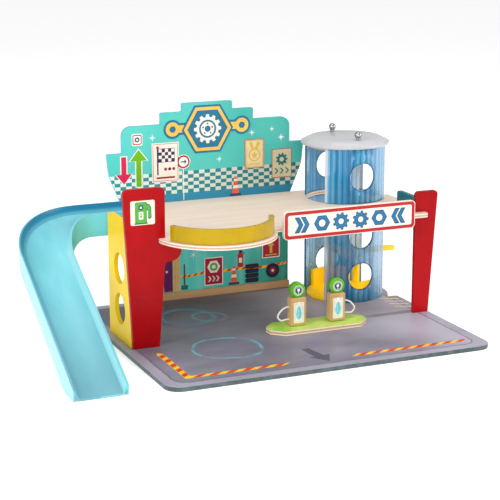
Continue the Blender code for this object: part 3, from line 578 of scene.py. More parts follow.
def cotton_cord():
    made = Finish("cotton_cord", roughness=0.75)
    made.fix({"Sheen Weight": 0.3})
    fluff = made.noise(made.place(), 2400.0, 3.0, 0.6)
    tone = made.blend(made.rise(fluff, 0.35, 0.65), srgb(222, 220, 212), srgb(246, 245, 240))
    return made.put(tone, made.rise(fluff, 0.3, 0.7, 0.65, 0.85), made.bump(fluff, 0.3, 0.0001))


def dress(material, *names):
    """Gives solids their finish."""
    for name in names:
        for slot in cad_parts[name].material_slots:
            slot.material = material


def join_body(item, body="garage"):
    """Puts a piece on its body."""
    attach(item, body)
    return item


def new_piece(name, mesh):
    item = bpy.data.objects.new(name, mesh)
    bpy.context.scene.collection.objects.link(item)
    return item


def smooth_skin(name, material, body="garage", angle=32):
    """A solid's own shape with its triangles merged, so that its round faces shade as one surface."""
    shape = bmesh.new()
    shape.from_mesh(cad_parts[name].data)
    bmesh.ops.remove_doubles(shape, verts=shape.verts, dist=0.000002)
    mesh = bpy.data.meshes.new(f"{name}_skin")
    shape.to_mesh(mesh)
    shape.free()
    mesh.materials.clear()
    mesh.materials.append(material)
    for face in mesh.polygons:
        face.material_index = 0
    mesh.shade_smooth()
    mesh.set_sharp_from_angle(angle=math.radians(angle))
    item = join_body(new_piece(f"{name}_skin", mesh), body)
    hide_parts(name)


def disc(x, y, radius, sides=44):
    """Round outline, or with few sides a nut's."""
    return [(x + radius * math.cos(math.tau * n / sides), y + radius * math.sin(math.tau * n / sides))
            for n in range(sides)]


def block(left, right, low, high, corner=0.0):
    """Rectangle with round corners."""
    if corner <= 0:
        return [(left, low), (right, low), (right, high), (left, high)]
    made = []
    for x, y, start in ((right - corner, low + corner, -90), (right - corner, high - corner, 0),
                        (left + corner, high - corner, 90), (left + corner, low + corner, 180)):
        for step in range(6):
            angle = math.radians(start + 18 * step)
            made.append((x + corner * math.cos(angle), y + corner * math.sin(angle)))
    return made


def stroke(x0, y0, x1, y1, width):
    """Straight bar between two points."""
    along = Vector((x1 - x0, y1 - y0)).normalized() * width / 2
    return [(x0 + along.y, y0 - along.x), (x1 + along.y, y1 - along.x),
            (x1 - along.y, y1 + along.x), (x0 - along.y, y0 + along.x)]


def star(x, y, outer, inner, points, turn=90.0):
    """Star, or a sparkle where its inner radius is small."""
    made = []
    for n in range(points * 2):
        radius = inner if n % 2 else outer
        angle = math.radians(turn) + math.pi * n / points
        made.append((x + radius * math.cos(angle), y + radius * math.sin(angle)))
    return made


def gear(x, y, outer, root, teeth):
    """Toothed wheel between its root and outer radius."""
    made = []
    for n in range(teeth):
        for share, radius in ((-0.32, root), (-0.2, outer), (0.2, outer), (0.32, root)):
            angle = math.tau * (n + share) / teeth
            made.append((x + radius * math.cos(angle), y + radius * math.sin(angle)))
    return made


def arrow(x, tail, tip, head, shaft, neck):
    """Arrow along the second axis, from its tail to its tip."""
    way = 1 if tip > tail else -1
    back = tip - way * neck
    return [(x - shaft / 2, tail), (x + shaft / 2, tail), (x + shaft / 2, back), (x + head / 2, back),
            (x, tip), (x - head / 2, back), (x - shaft / 2, back)]


def chevron(x, y, width, height, thick):
    """Chevron that points to the right, or to the left where its width is negative."""
    bar = math.copysign(thick, width)
    return [(x - width / 2, y + height / 2), (x - width / 2 + bar, y + height / 2), (x + width / 2, y),
            (x - width / 2 + bar, y - height / 2), (x - width / 2, y - height / 2), (x + width / 2 - bar, y)]


def on_face(y):
    """Puts a drawn point on a board's front face, which looks to the front at Y = y."""
    return lambda point, out: (point[0] / 1000, y - out, point[1] / 1000)


def on_top(z):
    """Puts a drawn point on a level board's top at Z = z."""
    return lambda point, out: (point[0] / 1000, point[1] / 1000, z + out)


def print_on(name, lay, shapes):
    """Thin printed or stuck shapes on a board. Each one is (outline, layer, ink), drawn in millimetres."""
    shape = bmesh.new()
    inks = []
    for outline, layer, colour in shapes:
        if colour not in inks:
            inks.append(colour)
        top = [shape.verts.new(lay(point, FILM + LAYER * layer)) for point in outline]
        low = [shape.verts.new(lay(point, -SUNK)) for point in outline]
        faces = [shape.faces.new(top), shape.faces.new(list(reversed(low)))]
        for index in range(len(outline)):
            after = (index + 1) % len(outline)
            faces.append(shape.faces.new((top[after], top[index], low[index], low[after])))
        for face in faces:
            face.material_index = inks.index(colour)
    shape.normal_update()
    bmesh.ops.triangulate(shape, faces=shape.faces)
    bmesh.ops.recalc_face_normals(shape, faces=shape.faces)
    mesh = bpy.data.meshes.new(name)
    shape.to_mesh(mesh)
    shape.free()
    for colour in inks:
        mesh.materials.append(colour)
    join_body(new_piece(name, mesh))


def new_plan(name, sizes):
    """Empty geometry tree with a geometry input and the named sizes."""
    inputs = [("Geometry", "geometry", None)] + [(label, sort, None) for label, sort in sizes]
    return new_group(name, inputs, [("Geometry", "geometry")], "GeometryNodeTree")


def end_plan(words, geometry, material, out):
    """Every tree ends in real faces with their material."""
    real = words.add("GeometryNodeRealizeInstances", {"Geometry": geometry})
    coat = words.add("GeometryNodeSetMaterial", {"Geometry": real.outputs[0], "Material": material})
    words.feed(out["Geometry"], coat.outputs[0])
    return words.tree


def end_row(words, points, piece, material, out):
    """Puts one piece on each point and ends the tree."""
    row = words.add("GeometryNodeInstanceOnPoints", {"Points": points, "Instance": piece})
    return end_plan(words, row.outputs[0], material, out)


def grow(tree, name, sizes, source=None, move=None):
    """Runs a tree and gives its result as a plain mesh in its place."""
    holder = new_piece(f"{name}_plan", source or bpy.data.meshes.new(f"{name}_plan"))
    modifier = holder.modifiers.new("plan", "NODES")
    modifier.node_group = tree
    sockets = {item.name: item.identifier for item in tree.interface.items_tree if item.in_out == "INPUT"}
    for label, value in sizes.items():
        modifier[sockets[label]] = value
    bpy.context.view_layer.update()
    graph = bpy.context.evaluated_depsgraph_get()
    mesh = bpy.data.meshes.new_from_object(holder.evaluated_get(graph))
    mesh.name = name
    bpy.data.objects.remove(holder, do_unlink=True)
    if move is not None:
        mesh.transform(move)
    return new_piece(name, mesh)


def plan_slanted_bars():
    """Row of slanted bars along X, for hazard tape."""
    words, given, out = new_plan("slanted_bars", [
        ("Count", "count"), ("Pitch", "value"), ("Bar Width", "value"), ("Tape Width", "value"),
        ("Slant", "value"), ("Thickness", "value"), ("Ink", "material")])
    pitch = words.join(given["Pitch"], 0.0, 0.0)
    line = words.add("GeometryNodeMeshLine", {"Count": given["Count"], "Offset": pitch})
    size = words.join(given["Bar Width"], given["Tape Width"], given["Thickness"])
    bar = words.add("GeometryNodeMeshCube", {"Size": size})
    spot = words.split(words.add("GeometryNodeInputPosition").outputs[0])
    shift = words.join(words.times(spot[1], given["Slant"]), 0.0, 0.0)
    lean = words.add("GeometryNodeSetPosition", {"Geometry": bar.outputs["Mesh"], "Offset": shift})
    return end_row(words, line.outputs[0], lean.outputs[0], given["Ink"], out)


def plan_beads():
    """Small round beads in a straight row from Start to End."""
    words, given, out = new_plan("bead_row", [
        ("Count", "count"), ("Start", "vector"), ("End", "vector"), ("Radius", "value"), ("Ink", "material")])
    line = words.add("GeometryNodeMeshLine", {"Count": given["Count"], "Start Location": given["Start"],
                                              "Offset": given["End"]}, mode="END_POINTS")
    bead = words.add("GeometryNodeMeshIcoSphere", {"Radius": given["Radius"], "Subdivisions": 2})
    return end_row(words, line.outputs[0], bead.outputs[0], given["Ink"], out)


def plan_screws():
    """Screw heads with a cross recess, one on each point of the source, looking down."""
    words, given, out = new_plan("screw_heads", [
        ("Radius", "value"), ("Depth", "value"), ("Recess", "value"), ("Metal", "material")])
    head = words.add("GeometryNodeMeshCylinder", {"Vertices": 24, "Radius": given["Radius"],
                                                  "Depth": given["Depth"]})
    cut = words.add("GeometryNodeMeshBoolean", {0: head.outputs["Mesh"]}, operation="DIFFERENCE")
    long = words.times(given["Radius"], 1.3)
    low = words.join(0.0, 0.0, words.times(given["Depth"], -0.6))
    for size in ((long, given["Recess"]), (given["Recess"], long)):
        bar = words.add("GeometryNodeMeshCube", {"Size": words.join(*size, given["Depth"])})
        drop = words.add("GeometryNodeTransform", {"Geometry": bar.outputs["Mesh"], "Translation": low})
        words.feed(cut.inputs[1], drop.outputs[0])
    return end_row(words, given["Geometry"], cut.outputs[0], given["Metal"], out)


def plan_laid_cord(strands=3):
    """Cord laid from strands that wind round the source's path."""
    words, given, out = new_plan("laid_cord", [
        ("Step", "value"), ("Lay Radius", "value"), ("Strand Radius", "value"), ("Twist", "value"),
        ("Yarn", "material")])
    path = words.add("GeometryNodeMeshToCurve", {"Mesh": given["Geometry"]})
    even = words.add("GeometryNodeResampleCurve", {"Curve": path.outputs[0], "Length": given["Step"]},
                     mode="LENGTH")
    run = words.add("GeometryNodeSplineParameter").outputs["Length"]
    normal = words.add("GeometryNodeInputNormal").outputs[0]
    tangent = words.add("GeometryNodeInputTangent").outputs[0]
    other = words.vectors("CROSS_PRODUCT", tangent, normal)
    ring = words.add("GeometryNodeCurvePrimitiveCircle", {"Resolution": 8, "Radius": given["Strand Radius"]})
    bundle = words.add("GeometryNodeJoinGeometry")
    for index in range(strands):
        angle = words.plus(words.times(run, given["Twist"]), math.tau * index / strands)
        across = words.times(words.maths("COSINE", angle), given["Lay Radius"])
        up = words.times(words.maths("SINE", angle), given["Lay Radius"])
        first = words.vectors("MULTIPLY", normal, words.join(across, across, across))
        second = words.vectors("MULTIPLY", other, words.join(up, up, up))
        wound = words.add("GeometryNodeSetPosition", {"Geometry": even.outputs[0],
                                                      "Offset": words.vectors("ADD", first, second)})
        strand = words.add("GeometryNodeCurveToMesh", {"Curve": wound.outputs[0],
                                                       "Profile Curve": ring.outputs[0], "Fill Caps": True})
        words.feed(bundle.inputs[0], strand.outputs[0])
    return end_plan(words, bundle.outputs[0], given["Yarn"], out)


def path_mesh(name, points):
    mesh = bpy.data.meshes.new(name)
    edges = [(index, index + 1) for index in range(len(points) - 1)]
    mesh.from_pydata([tuple(point) for point in points], edges, [])
    return mesh


def smooth_path(points, steps=4):
    """Points of a smooth curve through the route's own points."""
    path = [Vector(point) for point in points]
    padded = [2 * path[0] - path[1]] + path + [2 * path[-1] - path[-2]]
    made = []
    for index in range(len(path) - 1):
        a, b, c, d = padded[index:index + 4]
        for step in range(steps):
            t = step / steps
            made.append(0.5 * ((2 * b) + (c - a) * t + (2 * a - 5 * b + 4 * c - d) * t * t
                               + (3 * b - 3 * c + d - a) * t ** 3))
    made.append(path[-1])
    return made


set_up_camera()
scene = bpy.context.scene
scene.view_settings.view_transform = "Standard"

# Studio
world = bpy.data.worlds.new("studio")
world.use_nodes = True
world.node_tree.nodes["Background"].inputs["Color"].default_value = PURE_WHITE
world.node_tree.nodes["Background"].inputs["Strength"].default_value = 0.62
scene.world = world
soft_light("left_light", (-1.9, -0.9, 1.2), (0.0, 0.0, 0.08), 1.2, 20.0)
soft_light("right_light", (1.9, -1.2, 0.9), (0.0, 0.0, 0.08), 1.4, 18.0)
soft_light("low_light", (-0.9, -2.1, 0.32), (0.05, 0.0, 0.06), 0.9, 11.0)
soft_light("top_light", (0.1, -0.2, 2.3), (0.0, 0.0, 0.0), 1.8, 14.0)

paper = Finish("white_paper", roughness=0.9)
fibre = paper.noise(paper.place(), 30.0, 3.0, 0.6)
paper.put(paper.blend(fibre, (0.93, 0.93, 0.935, 1.0), (0.96, 0.96, 0.96, 1.0)), None,
          paper.bump(fibre, 0.02, 0.0005))
paper.fix({"Emission Color": PURE_WHITE, "Emission Strength": 0.34})
sweep = bmesh.new()
bmesh.ops.create_grid(sweep, x_segments=4, y_segments=4, size=25.0)
for vertex in sweep.verts:
    vertex.co.z = STUDIO_Z
floor_mesh = bpy.data.meshes.new("studio_floor")
sweep.to_mesh(floor_mesh)
sweep.free()
floor_mesh.materials.append(paper.material)
new_piece("studio_floor", floor_mesh)

# Finishes of the solids
# The pink of the red posts' rubbed edges is partly wear and partly a painted highlight along them
RED = painted_board("red_paint", srgb(148, 0, 6), srgb(184, 2, 14), srgb(236, 130, 116), 0.30, 0.9, 9.0,
                    shine=0.12)
SIDE_YELLOW = painted_board("yellow_paint", srgb(250, 206, 0), srgb(244, 206, 20), srgb(250, 236, 170), 0.36,
                            shine=0.12)
GUARD_YELLOW = painted_board("guard_yellow", srgb(172, 140, 0), srgb(206, 170, 0), srgb(250, 232, 140), 0.26,
                             0.6, 18.0)
GUARD_TEAL = painted_board("guard_teal", srgb(24, 104, 114), srgb(34, 124, 134), srgb(160, 214, 216), 0.34)
SIGN_CREAM = painted_board("sign_cream", srgb(240, 232, 218), srgb(246, 241, 232), srgb(206, 188, 158), 0.42,
                           0.6, 20.0)
# The lift car's emission is a painted glow that keeps it bright inside the tube
LIFT_YELLOW = moulded("lift_yellow", srgb(255, 200, 0), srgb(255, 212, 20), 0.28, glow=0.3)
CAP_GREY = moulded("cap_grey", srgb(188, 189, 192), srgb(206, 206, 209), 0.30, texture=0.02)
HEAD_GREEN = painted_board("head_green", srgb(96, 186, 26), srgb(120, 204, 48), srgb(196, 226, 150), 0.34)
DECK_PLY = plywood("deck_plywood", srgb(240, 222, 206), srgb(226, 200, 176), srgb(186, 132, 96),
                   (8.0, 95.0, 95.0), 2, DECK_LOW, BOARD, 3.0)
RAIL_WOOD = plywood("rail_wood", srgb(206, 166, 120), srgb(174, 128, 82), srgb(150, 108, 68),
                    (9.0, 110.0, 110.0), 1, RAIL_LOW, BOARD, 1.0)
# The island's green top drifts into a pale yellow green, partly its own tone and partly a painted highlight
ISLAND_PLY = plywood("island_plywood", srgb(244, 228, 196), srgb(226, 196, 152), srgb(186, 140, 92),
                     (9.0, 110.0, 110.0), 2, GROUND, ISLAND_THICK, 3.0,
                     (srgb(122, 204, 6), srgb(232, 246, 130)))
PUMP_WOOD = plywood("pump_wood", srgb(212, 172, 120), srgb(180, 134, 84), srgb(160, 116, 72),
                    (130.0, 130.0, 14.0), 1, PUMP_FRONT, PUMP_THICK, 1.0)
STEEL = turned_steel("polished_steel", srgb(150, 151, 156), srgb(186, 187, 192), 0.12, 0.26)
ROD_STEEL = turned_steel("brushed_steel", srgb(226, 222, 216), srgb(246, 243, 238), 0.42, 0.56)
TUBE_BLUE = tube_plastic()
RAMP_BLUE = ramp_plastic()
CORD_WHITE = cotton_cord()

dress(printed_asphalt(), "base_board")
dress(printed_wall(), "back_board")
dress(RED, "left_post", "right_post")
dress(SIDE_YELLOW, "side_panel")
dress(GUARD_TEAL, "right_guard")
dress(SIGN_CREAM, "sign_board")
dress(DECK_PLY, "upper_deck")
dress(RAIL_WOOD, "back_rail")
dress(ISLAND_PLY, "pump_island")
dress(PUMP_WOOD, "pump_body_left", "pump_body_right")
for side in ("front", "back"):
    smooth_skin(f"shell_lower_{side}", TUBE_BLUE, angle=40)
    smooth_skin(f"shell_upper_{side}", TUBE_BLUE, angle=40)
    smooth_skin(f"guide_rod_{side}", ROD_STEEL)
    smooth_skin(f"rod_knob_{side}", STEEL, angle=40)
smooth_skin("lift_cap", CAP_GREY)
smooth_skin("lift_car", LIFT_YELLOW, "lift")
smooth_skin("ramp", RAMP_BLUE, angle=28)
smooth_skin("deck_guard", GUARD_YELLOW, angle=28)
for side in ("left", "right"):
    smooth_skin(f"pump_head_{side}", HEAD_GREEN)

# Inks
CREAM = ink("cream", (246, 239, 228))
WHITE = ink("white", (250, 250, 246))
INK_RED = ink("red", (192, 38, 36))
DEEP_RED = ink("deep_red", (176, 30, 58))
PINK = ink("raspberry", (226, 32, 84))
GREEN = ink("green", (112, 186, 20))
LEAF = ink("leaf_green", (88, 176, 62))
INK_BLUE = ink("sign_blue", (38, 118, 162))
BADGE_BLUE = ink("badge_blue", (38, 116, 148))
NAVY = ink("navy", (42, 70, 102))
PLUM = ink("plum", (62, 44, 92))
DARK = ink("dark", (34, 32, 52))
AMBER = ink("amber", (250, 196, 84))
GOLD = ink("gold", (214, 178, 76))
DULL_GOLD = ink("dull_gold", (206, 178, 118))
PARCHMENT = ink("parchment", (226, 206, 158))
WHEAT = ink("wheat", (206, 196, 156))
TAPE_YELLOW = ink("tape_yellow", (252, 206, 44))
TAPE_RED = ink("tape_red", (222, 62, 30))
PALE_CYAN = ink("pale_cyan", (120, 214, 226))
ORANGE = ink("orange", (238, 96, 60))
GREY = ink("shadow_grey", (92, 90, 102))
DEEP_TEAL = ink("deep_teal", (34, 112, 108))
SKY = ink("sky", (176, 232, 226))
WOOD = ink("print_wood", (228, 188, 120))
WOOD_LINE = ink("wood_line", (190, 146, 84))
LOCKER_VIOLET = ink("locker_violet", (128, 44, 110))
LOCKER_SHADE = ink("locker_shade", (104, 34, 98))
HANDLE_BROWN = ink("handle_brown", (120, 70, 60))
BRISTLE = ink("bristle", (60, 110, 100))
LABEL_CREAM = ink("label_cream", (238, 238, 212))
LIME_TINT = ink("lime_tint", (206, 226, 150))
HEAD_DARK = ink("head_dark", (64, 148, 16))
HEAD_LIME = ink("head_lime", (122, 206, 48))
HATCH = ink("hatch", (248, 226, 178))


def stacked(layer, *prints):
    """Prints that lie on each other, each one (outline, ink), from the given layer up."""
    return [(outline, layer + above, colour) for above, (outline, colour) in enumerate(prints)]


def rings(x, y, *bands, sides=44):
    """Round prints about one middle, each one (radius, ink), the widest first."""
    return [(disc(x, y, radius, sides), colour) for radius, colour in bands]


def cone(x, low, wide, high):
    """Traffic cone with pale bands on a dark foot."""

    def half(z):
        return wide * 0.34 * (1 - 0.72 * (z - low) / high)

    made = [(block(x - wide / 2, x + wide / 2, low, low + high * 0.12, 0.6), 4, NAVY)]
    for start, end, colour in ((0.12, 0.38, ORANGE), (0.38, 0.54, CREAM), (0.54, 0.76, ORANGE),
                               (0.76, 0.86, CREAM), (0.86, 1.0, ORANGE)):
        z0 = low + high * start
        z1 = low + high * end
        outline = [(x - half(z0), z0), (x + half(z0), z0), (x + half(z1), z1), (x - half(z1), z1)]
        made.append((outline, 5, colour))
    return made


# Prints on the upper half of the back board: sparkles, nut sign, arrows
WALL = on_face(WALL_FRONT)
upper = []
for x, z, size in ((-97, 216, 5.2), (-7, 183, 4.6), (38, 214, 4.8), (79, 205.5, 5.4), (66, 217, 4.0)):
    upper += stacked(0, (star(x, z, size, size * 0.16, 4), WHITE),
                     (star(x, z, size * 0.6, size * 0.12, 4, 45.0), WHITE),
                     (disc(x, z, size * 0.17, 12), WHITE))
upper += stacked(0, (block(-124, -110, 207.5, 222.5, 2.2), WHITE),
                 (block(-123, -111, 208.7, 221.3, 1.8), INK_RED),
                 (block(-121.7, -112.3, 210, 220, 1.2), WHITE), (gear(-117, 215, 3.6, 2.7, 8), NAVY),
                 (disc(-117, 215, 1.3, 20), WHITE))
upper += stacked(0, (arrow(-135, 195.7, 158.2, 23.6, 9.4, 14.6), WHITE),
                 (arrow(-135, 194.5, 160, 20.6, 6.6, 12.6), PINK))
upper += stacked(2, (arrow(-115.5, 154.6, 204.3, 26.0, 9.6, 16.4), WHITE),
                 (arrow(-115.5, 155.6, 202.5, 22.8, 6.8, 14.2), GREEN))

# Poster with a chequered flag
CHECK_X, CHECK_Z = -89.1, 184.8
CHECK_WIDE, CHECK_HIGH = 4.2, 4.1
upper += stacked(4, (block(-98, -62, 159, 209), CREAM), (block(-96.8, -63.2, 160.3, 207.7), INK_RED),
                 (block(-96.2, -63.8, 160.9, 207.1), CREAM))
upper += [(stroke(-90.4, 168.4, -90.4, 202.4, 1.8), 7, DARK), (disc(-90.4, 203.2, 1.8, 20), 8, DEEP_RED),
          (block(-89.6, -67.6, 184.2, 201.8), 7, PLUM)]
for column in range(5):
    for line in range(4):
        if (column + line) % 2:
            left = CHECK_X + CHECK_WIDE * column
            foot = CHECK_Z + CHECK_HIGH * line
            upper.append((block(left, left + CHECK_WIDE, foot, foot + CHECK_HIGH), 8, CREAM))
for number, colour in enumerate((DEEP_RED, PLUM, DEEP_RED)):
    upper.append((disc(-80 + 5.4 * number, 175.4, 2.0, 24), 7, colour))
upper.append((block(-92.4, -67.6, 163.4, 165.8), 7, DEEP_RED))

# Round way sign on its pole, poster with a medal, poster with a gear
upper += stacked(3, (block(-56.5, -55.5, 134.2, 176), WHITE),
                 *rings(-56, 183, (9.2, WHITE), (8.4, INK_RED), (6.2, WHITE)),
                 (stroke(-59.6, 183, -53.6, 183, 1.5), NAVY))
upper.append(([(-54.6, 180.2), (-51.6, 183), (-54.6, 185.8)], 7, NAVY))
upper += stacked(4, (block(28, 55, 167.6, 205.4), INK_RED), (block(28.6, 54.4, 168.2, 204.8), DULL_GOLD),
                 (block(30.2, 52.8, 170, 203), PARCHMENT), (stroke(35.6, 201.4, 40.4, 190.4, 4.2), GOLD))
upper += stacked(7, (stroke(47.4, 201.4, 42.6, 190.4, 4.2), GOLD),
                 *rings(41.5, 184.6, (8.2, GOLD), (6.6, PARCHMENT)), (star(41.5, 184.6, 5.6, 2.3, 5), GOLD))
upper.append((block(34.0, 49.0, 172.2, 173.6), 7, GOLD))
upper += stacked(4, (block(66, 94, 152.6, 190.4), DEEP_RED), (block(66.8, 93.2, 153.4, 189.6), WHEAT),
                 (gear(80, 176.5, 8.4, 6.4, 9), DEEP_TEAL), (disc(80, 176.5, 3.0, 24), WHEAT))
for step in range(3):
    upper.append((chevron(72.5 + 7.5 * step, 161.5, 6.0, 7.6, 2.4), 6, DEEP_TEAL))
upper += cone(15, 133.8, 15, 25)

# Badge: a big nut with a gear in it, on a ring spanner
NUT_X, NUT_Z = -23, 223
ends = [(NUT_X + side * 47, NUT_Z + 2) for side in (-1, 1)]
for layer, wide, eye, colour in ((4, 15.0, 12.0, BADGE_BLUE), (6, 9.0, 9.0, AMBER)):
    upper.append((stroke(*ends[0], *ends[1], wide), layer, colour))
    for end in ends:
        upper.append((disc(*end, eye), layer + 1, colour))
for end in ends:
    upper.append((disc(*end, 4.6, 6), 8, BADGE_BLUE))
upper += stacked(9, *rings(NUT_X, NUT_Z, (35.0, BADGE_BLUE), (32.0, AMBER), (27.4, BADGE_BLUE), sides=6),
                 (gear(NUT_X, NUT_Z, 18.5, 15.0, 12), CREAM),
                 *rings(NUT_X, NUT_Z, (11.6, BADGE_BLUE), (9.2, CREAM)),
                 (disc(NUT_X, NUT_Z, 4.0, 30), BADGE_BLUE))
for turn in range(5):
    angle = math.radians(90 + 72 * turn)
    hole = (NUT_X + 6.6 * math.cos(angle), NUT_Z + 6.6 * math.sin(angle))
    upper.append((disc(*hole, 1.2, 16), 15, BADGE_BLUE))
print_on("wall_prints_upper", WALL, upper)

# Prints on the bay wall under the deck: lockers, broom, hazard tape
lower = stacked(3, (block(-84.5, -72.5, 15.2, 69, 0.8), LOCKER_VIOLET),
                (block(-83.4, -73.6, 17, 67.6, 0.6), LOCKER_SHADE), (disc(-80.5, 42, 1.6, 20), CREAM))
lower += [(block(-72, -62.5, 15.2, 66, 0.5), 3, WOOD), (block(-69.2, -68.9, 16, 65), 4, WOOD_LINE),
          (block(-65.6, -65.3, 16, 65), 4, WOOD_LINE), (block(-57.4, -55.4, 22, 50, 0.8), 4, HANDLE_BROWN),
          (block(-61, -51.6, 16, 22, 1.2), 4, BRISTLE)]
TAPE_HALF = 1.7
TAPE_LEAN = 1.4
tape = [(-62, 33.0), (-48, 33.6), (-30, 36.0), (-12, 37.0), (8, 35.6), (30, 36.6), (52, 35.0), (78, 37.0),
        (89, 37.4)]
for index, ((x0, z0), (x1, z1)) in enumerate(zip(tape, tape[1:])):
    for part in range(4):
        a, b = part / 4, (part + 1) / 4
        colour = TAPE_RED if (index * 4 + part) % 2 else TAPE_YELLOW
        start = (x0 + (x1 - x0) * a, z0 + (z1 - z0) * a)
        end = (x0 + (x1 - x0) * b, z0 + (z1 - z0) * b)
        outline = [(x + side * TAPE_LEAN, z + side * TAPE_HALF)
                   for side, (x, z) in ((-1, start), (-1, end), (1, end), (1, start))]
        lower.append((outline, 2, colour))

# Poster with a nut, cone, extinguisher, tyres, wheel, poster with an arrow
lower += stacked(4, (block(-29, -3, 18, 55), CREAM), (block(-27.8, -4.2, 19.2, 53.8), DEEP_RED),
                 (disc(-16, 42.4, 9.0, 6), CREAM), (disc(-16, 42.4, 5.4), LEAF),
                 (disc(-16, 42.4, 2.6, 24), CREAM))
for line, colour in enumerate((CREAM, SKY, CREAM)):
    lower.append((chevron(-21.6 + 5.6 * line, 26.6, 4.6, 7.4, 2.0), 6, colour))
lower += cone(12.5, 15.6, 15, 25)
lower += [(block(17.6, 25.6, 38, 57, 2.6), 4, INK_RED), (block(19.6, 23.6, 57, 60.6, 0.8), 4, DARK),
          (stroke(23.6, 59.4, 27.2, 55.4, 1.1), 4, DARK), (block(19.4, 23.8, 44, 50.4, 0.4), 5, CREAM)]
TYRE_PITCH = 6.3
for step in range(4):
    lower.append((block(28.5, 47.5, 16.0 + TYRE_PITCH * step, 21.9 + TYRE_PITCH * step, 2.2), 4, DARK))
    lower.append((block(30.5, 45.5, 18.4 + TYRE_PITCH * step, 19.0 + TYRE_PITCH * step, 0.2), 5, PLUM))
lower += stacked(4, *rings(67.5, 29, (9.6, DARK), (5.4, PLUM), (3.8, INK_RED)),
                 (disc(67.5, 29, 1.7, 20), CREAM))
lower += stacked(4, (block(52.4, 77.6, 46.6, 74), CREAM), (block(53.6, 76.4, 47.8, 72.8), DEEP_RED),
                 (arrow(65, 52.6, 69.6, 9.0, 3.6, 7.0), GOLD))
lower.append((block(56.4, 73.6, 49.8, 51.2), 6, GOLD))
for x, z, size in ((-44, 61, 6.2), (-40, 72, 3.6)):
    lower += stacked(2, (star(x, z, size, size * 0.14, 6), WHITE), (disc(x, z, size * 0.16, 12), WHITE))
print_on("wall_prints_lower", WALL, lower)

# Long sign: chevrons, nuts and gears in a red frame
SIGN_Z = 135
sign = stacked(0, (block(-4.2, 168.2, 118.8, 151.2, 4.4), INK_RED),
               (block(-0.2, 164.2, 122.8, 147.2, 2.2), CREAM))
for x, way in ((14, 1), (22, 1), (150, -1), (142, -1)):
    sign += stacked(2, (chevron(x, SIGN_Z, way * 11.5, 19, 6.2), NAVY),
                    (chevron(x, SIGN_Z, way * 9.6, 16.6, 4.6), INK_BLUE))
for x in (44, 120):
    sign += stacked(2, *rings(x, SIGN_Z, (10.6, NAVY), (9.6, INK_BLUE), sides=6),
                    *rings(x, SIGN_Z, (5.2, NAVY), (4.3, CREAM), sides=30))
for x in (69, 95):
    sign += stacked(2, (gear(x, SIGN_Z, 10.8, 8.6, 9), NAVY), (gear(x, SIGN_Z, 9.8, 7.6, 9), INK_BLUE),
                    *rings(x, SIGN_Z, (4.4, NAVY), (3.5, CREAM), sides=30))
print_on("sign_print", on_face(SIGN_FRONT), sign)

# Fuel label on the left post: a pump, its window and foot, and its hose
fuel = stacked(0, (block(-190, -161, 150.5, 178.5, 2.0), LABEL_CREAM),
               (block(-184.4, -170.6, 152.2, 176.8, 1.4), DEEP_TEAL),
               (block(-183.8, -171.2, 152.8, 176.2, 1.0), LEAF),
               (disc(-177.5, 170.6, 3.0), NAVY), (disc(-177.5, 170.6, 1.4, 20), CREAM))
fuel += stacked(3, (block(-180.2, -174.8, 157.0, 165.6, 0.8), CREAM),
                (arrow(-177.5, 164.4, 158.4, 3.4, 1.4, 2.4), LEAF),
                (block(-185.4, -169.6, 151.6, 153.0, 0.4), DEEP_TEAL))
fuel += stacked(1, ([(-170.8, 175.2), (-167.2, 173.6), (-165.2, 169.4), (-165.0, 158.4), (-167.2, 156.4),
                     (-169.0, 158.2), (-169.0, 166.4), (-170.8, 167.6)], DEEP_TEAL),
                ([(-171.0, 173.8), (-168.0, 172.6), (-166.2, 169.0), (-166.0, 158.8), (-167.2, 157.6),
                  (-168.2, 158.6), (-168.2, 167.0), (-171.0, 168.8)], LEAF))
print_on("post_label", on_face(POST_FRONT), fuel)

# Pump labels and round heads
DROP_WIDE, DROP_HIGH, DROP_Z = 3.6, 8.2, 27.4
for side, x in (("left", 15.7), ("right", 67.7)):
    drop = []
    for n in range(28):
        angle = math.tau * n / 28
        slimmer = 0.86 if math.cos(angle) >= 0.2 else 1.0
        drop.append((x + DROP_WIDE * math.sin(angle) * slimmer, DROP_Z + DROP_HIGH * math.cos(angle)))
    label = stacked(0, (block(x - 6.6, x + 6.6, 15.2, 40.2, 1.2), WHITE),
                    (block(x - 5.6, x + 5.6, 16.2, 39.2, 0.9), LIME_TINT),
                    (block(x - 4.9, x + 4.9, 17.0, 38.4, 0.7), CREAM),
                    (block(x - 1.4, x + 1.4, 38.0, 40.8, 0.4), WHITE),
                    (drop, PALE_CYAN), (stroke(x - 1.2, 22.6, x - 1.2, 31.6, 1.1), SKY))
    print_on(f"pump_label_{side}", on_face(PUMP_FRONT), label)
    eye = (x + 0.2, 54.6)
    mark = stacked(0, *rings(x, 54.7, (7.6, HEAD_DARK), (7.1, HEAD_LIME)),
                   *rings(*eye, (5.9, WHITE), (5.3, NAVY), (4.7, WHITE), (4.2, NAVY)),
                   (block(x - 1.5, x + 1.9, 53.6, 56.4, 0.6), WHITE))
    for left, right, low, high in ((-1.1, -0.4, 56.2, 58.0), (0.8, 1.5, 56.2, 58.0), (-0.2, 0.6, 51.0, 53.8)):
        mark.append((block(x + left, x + right, low, high), 6, WHITE))
    print_on(f"head_print_{side}", on_face(HEAD_FRONT), mark)

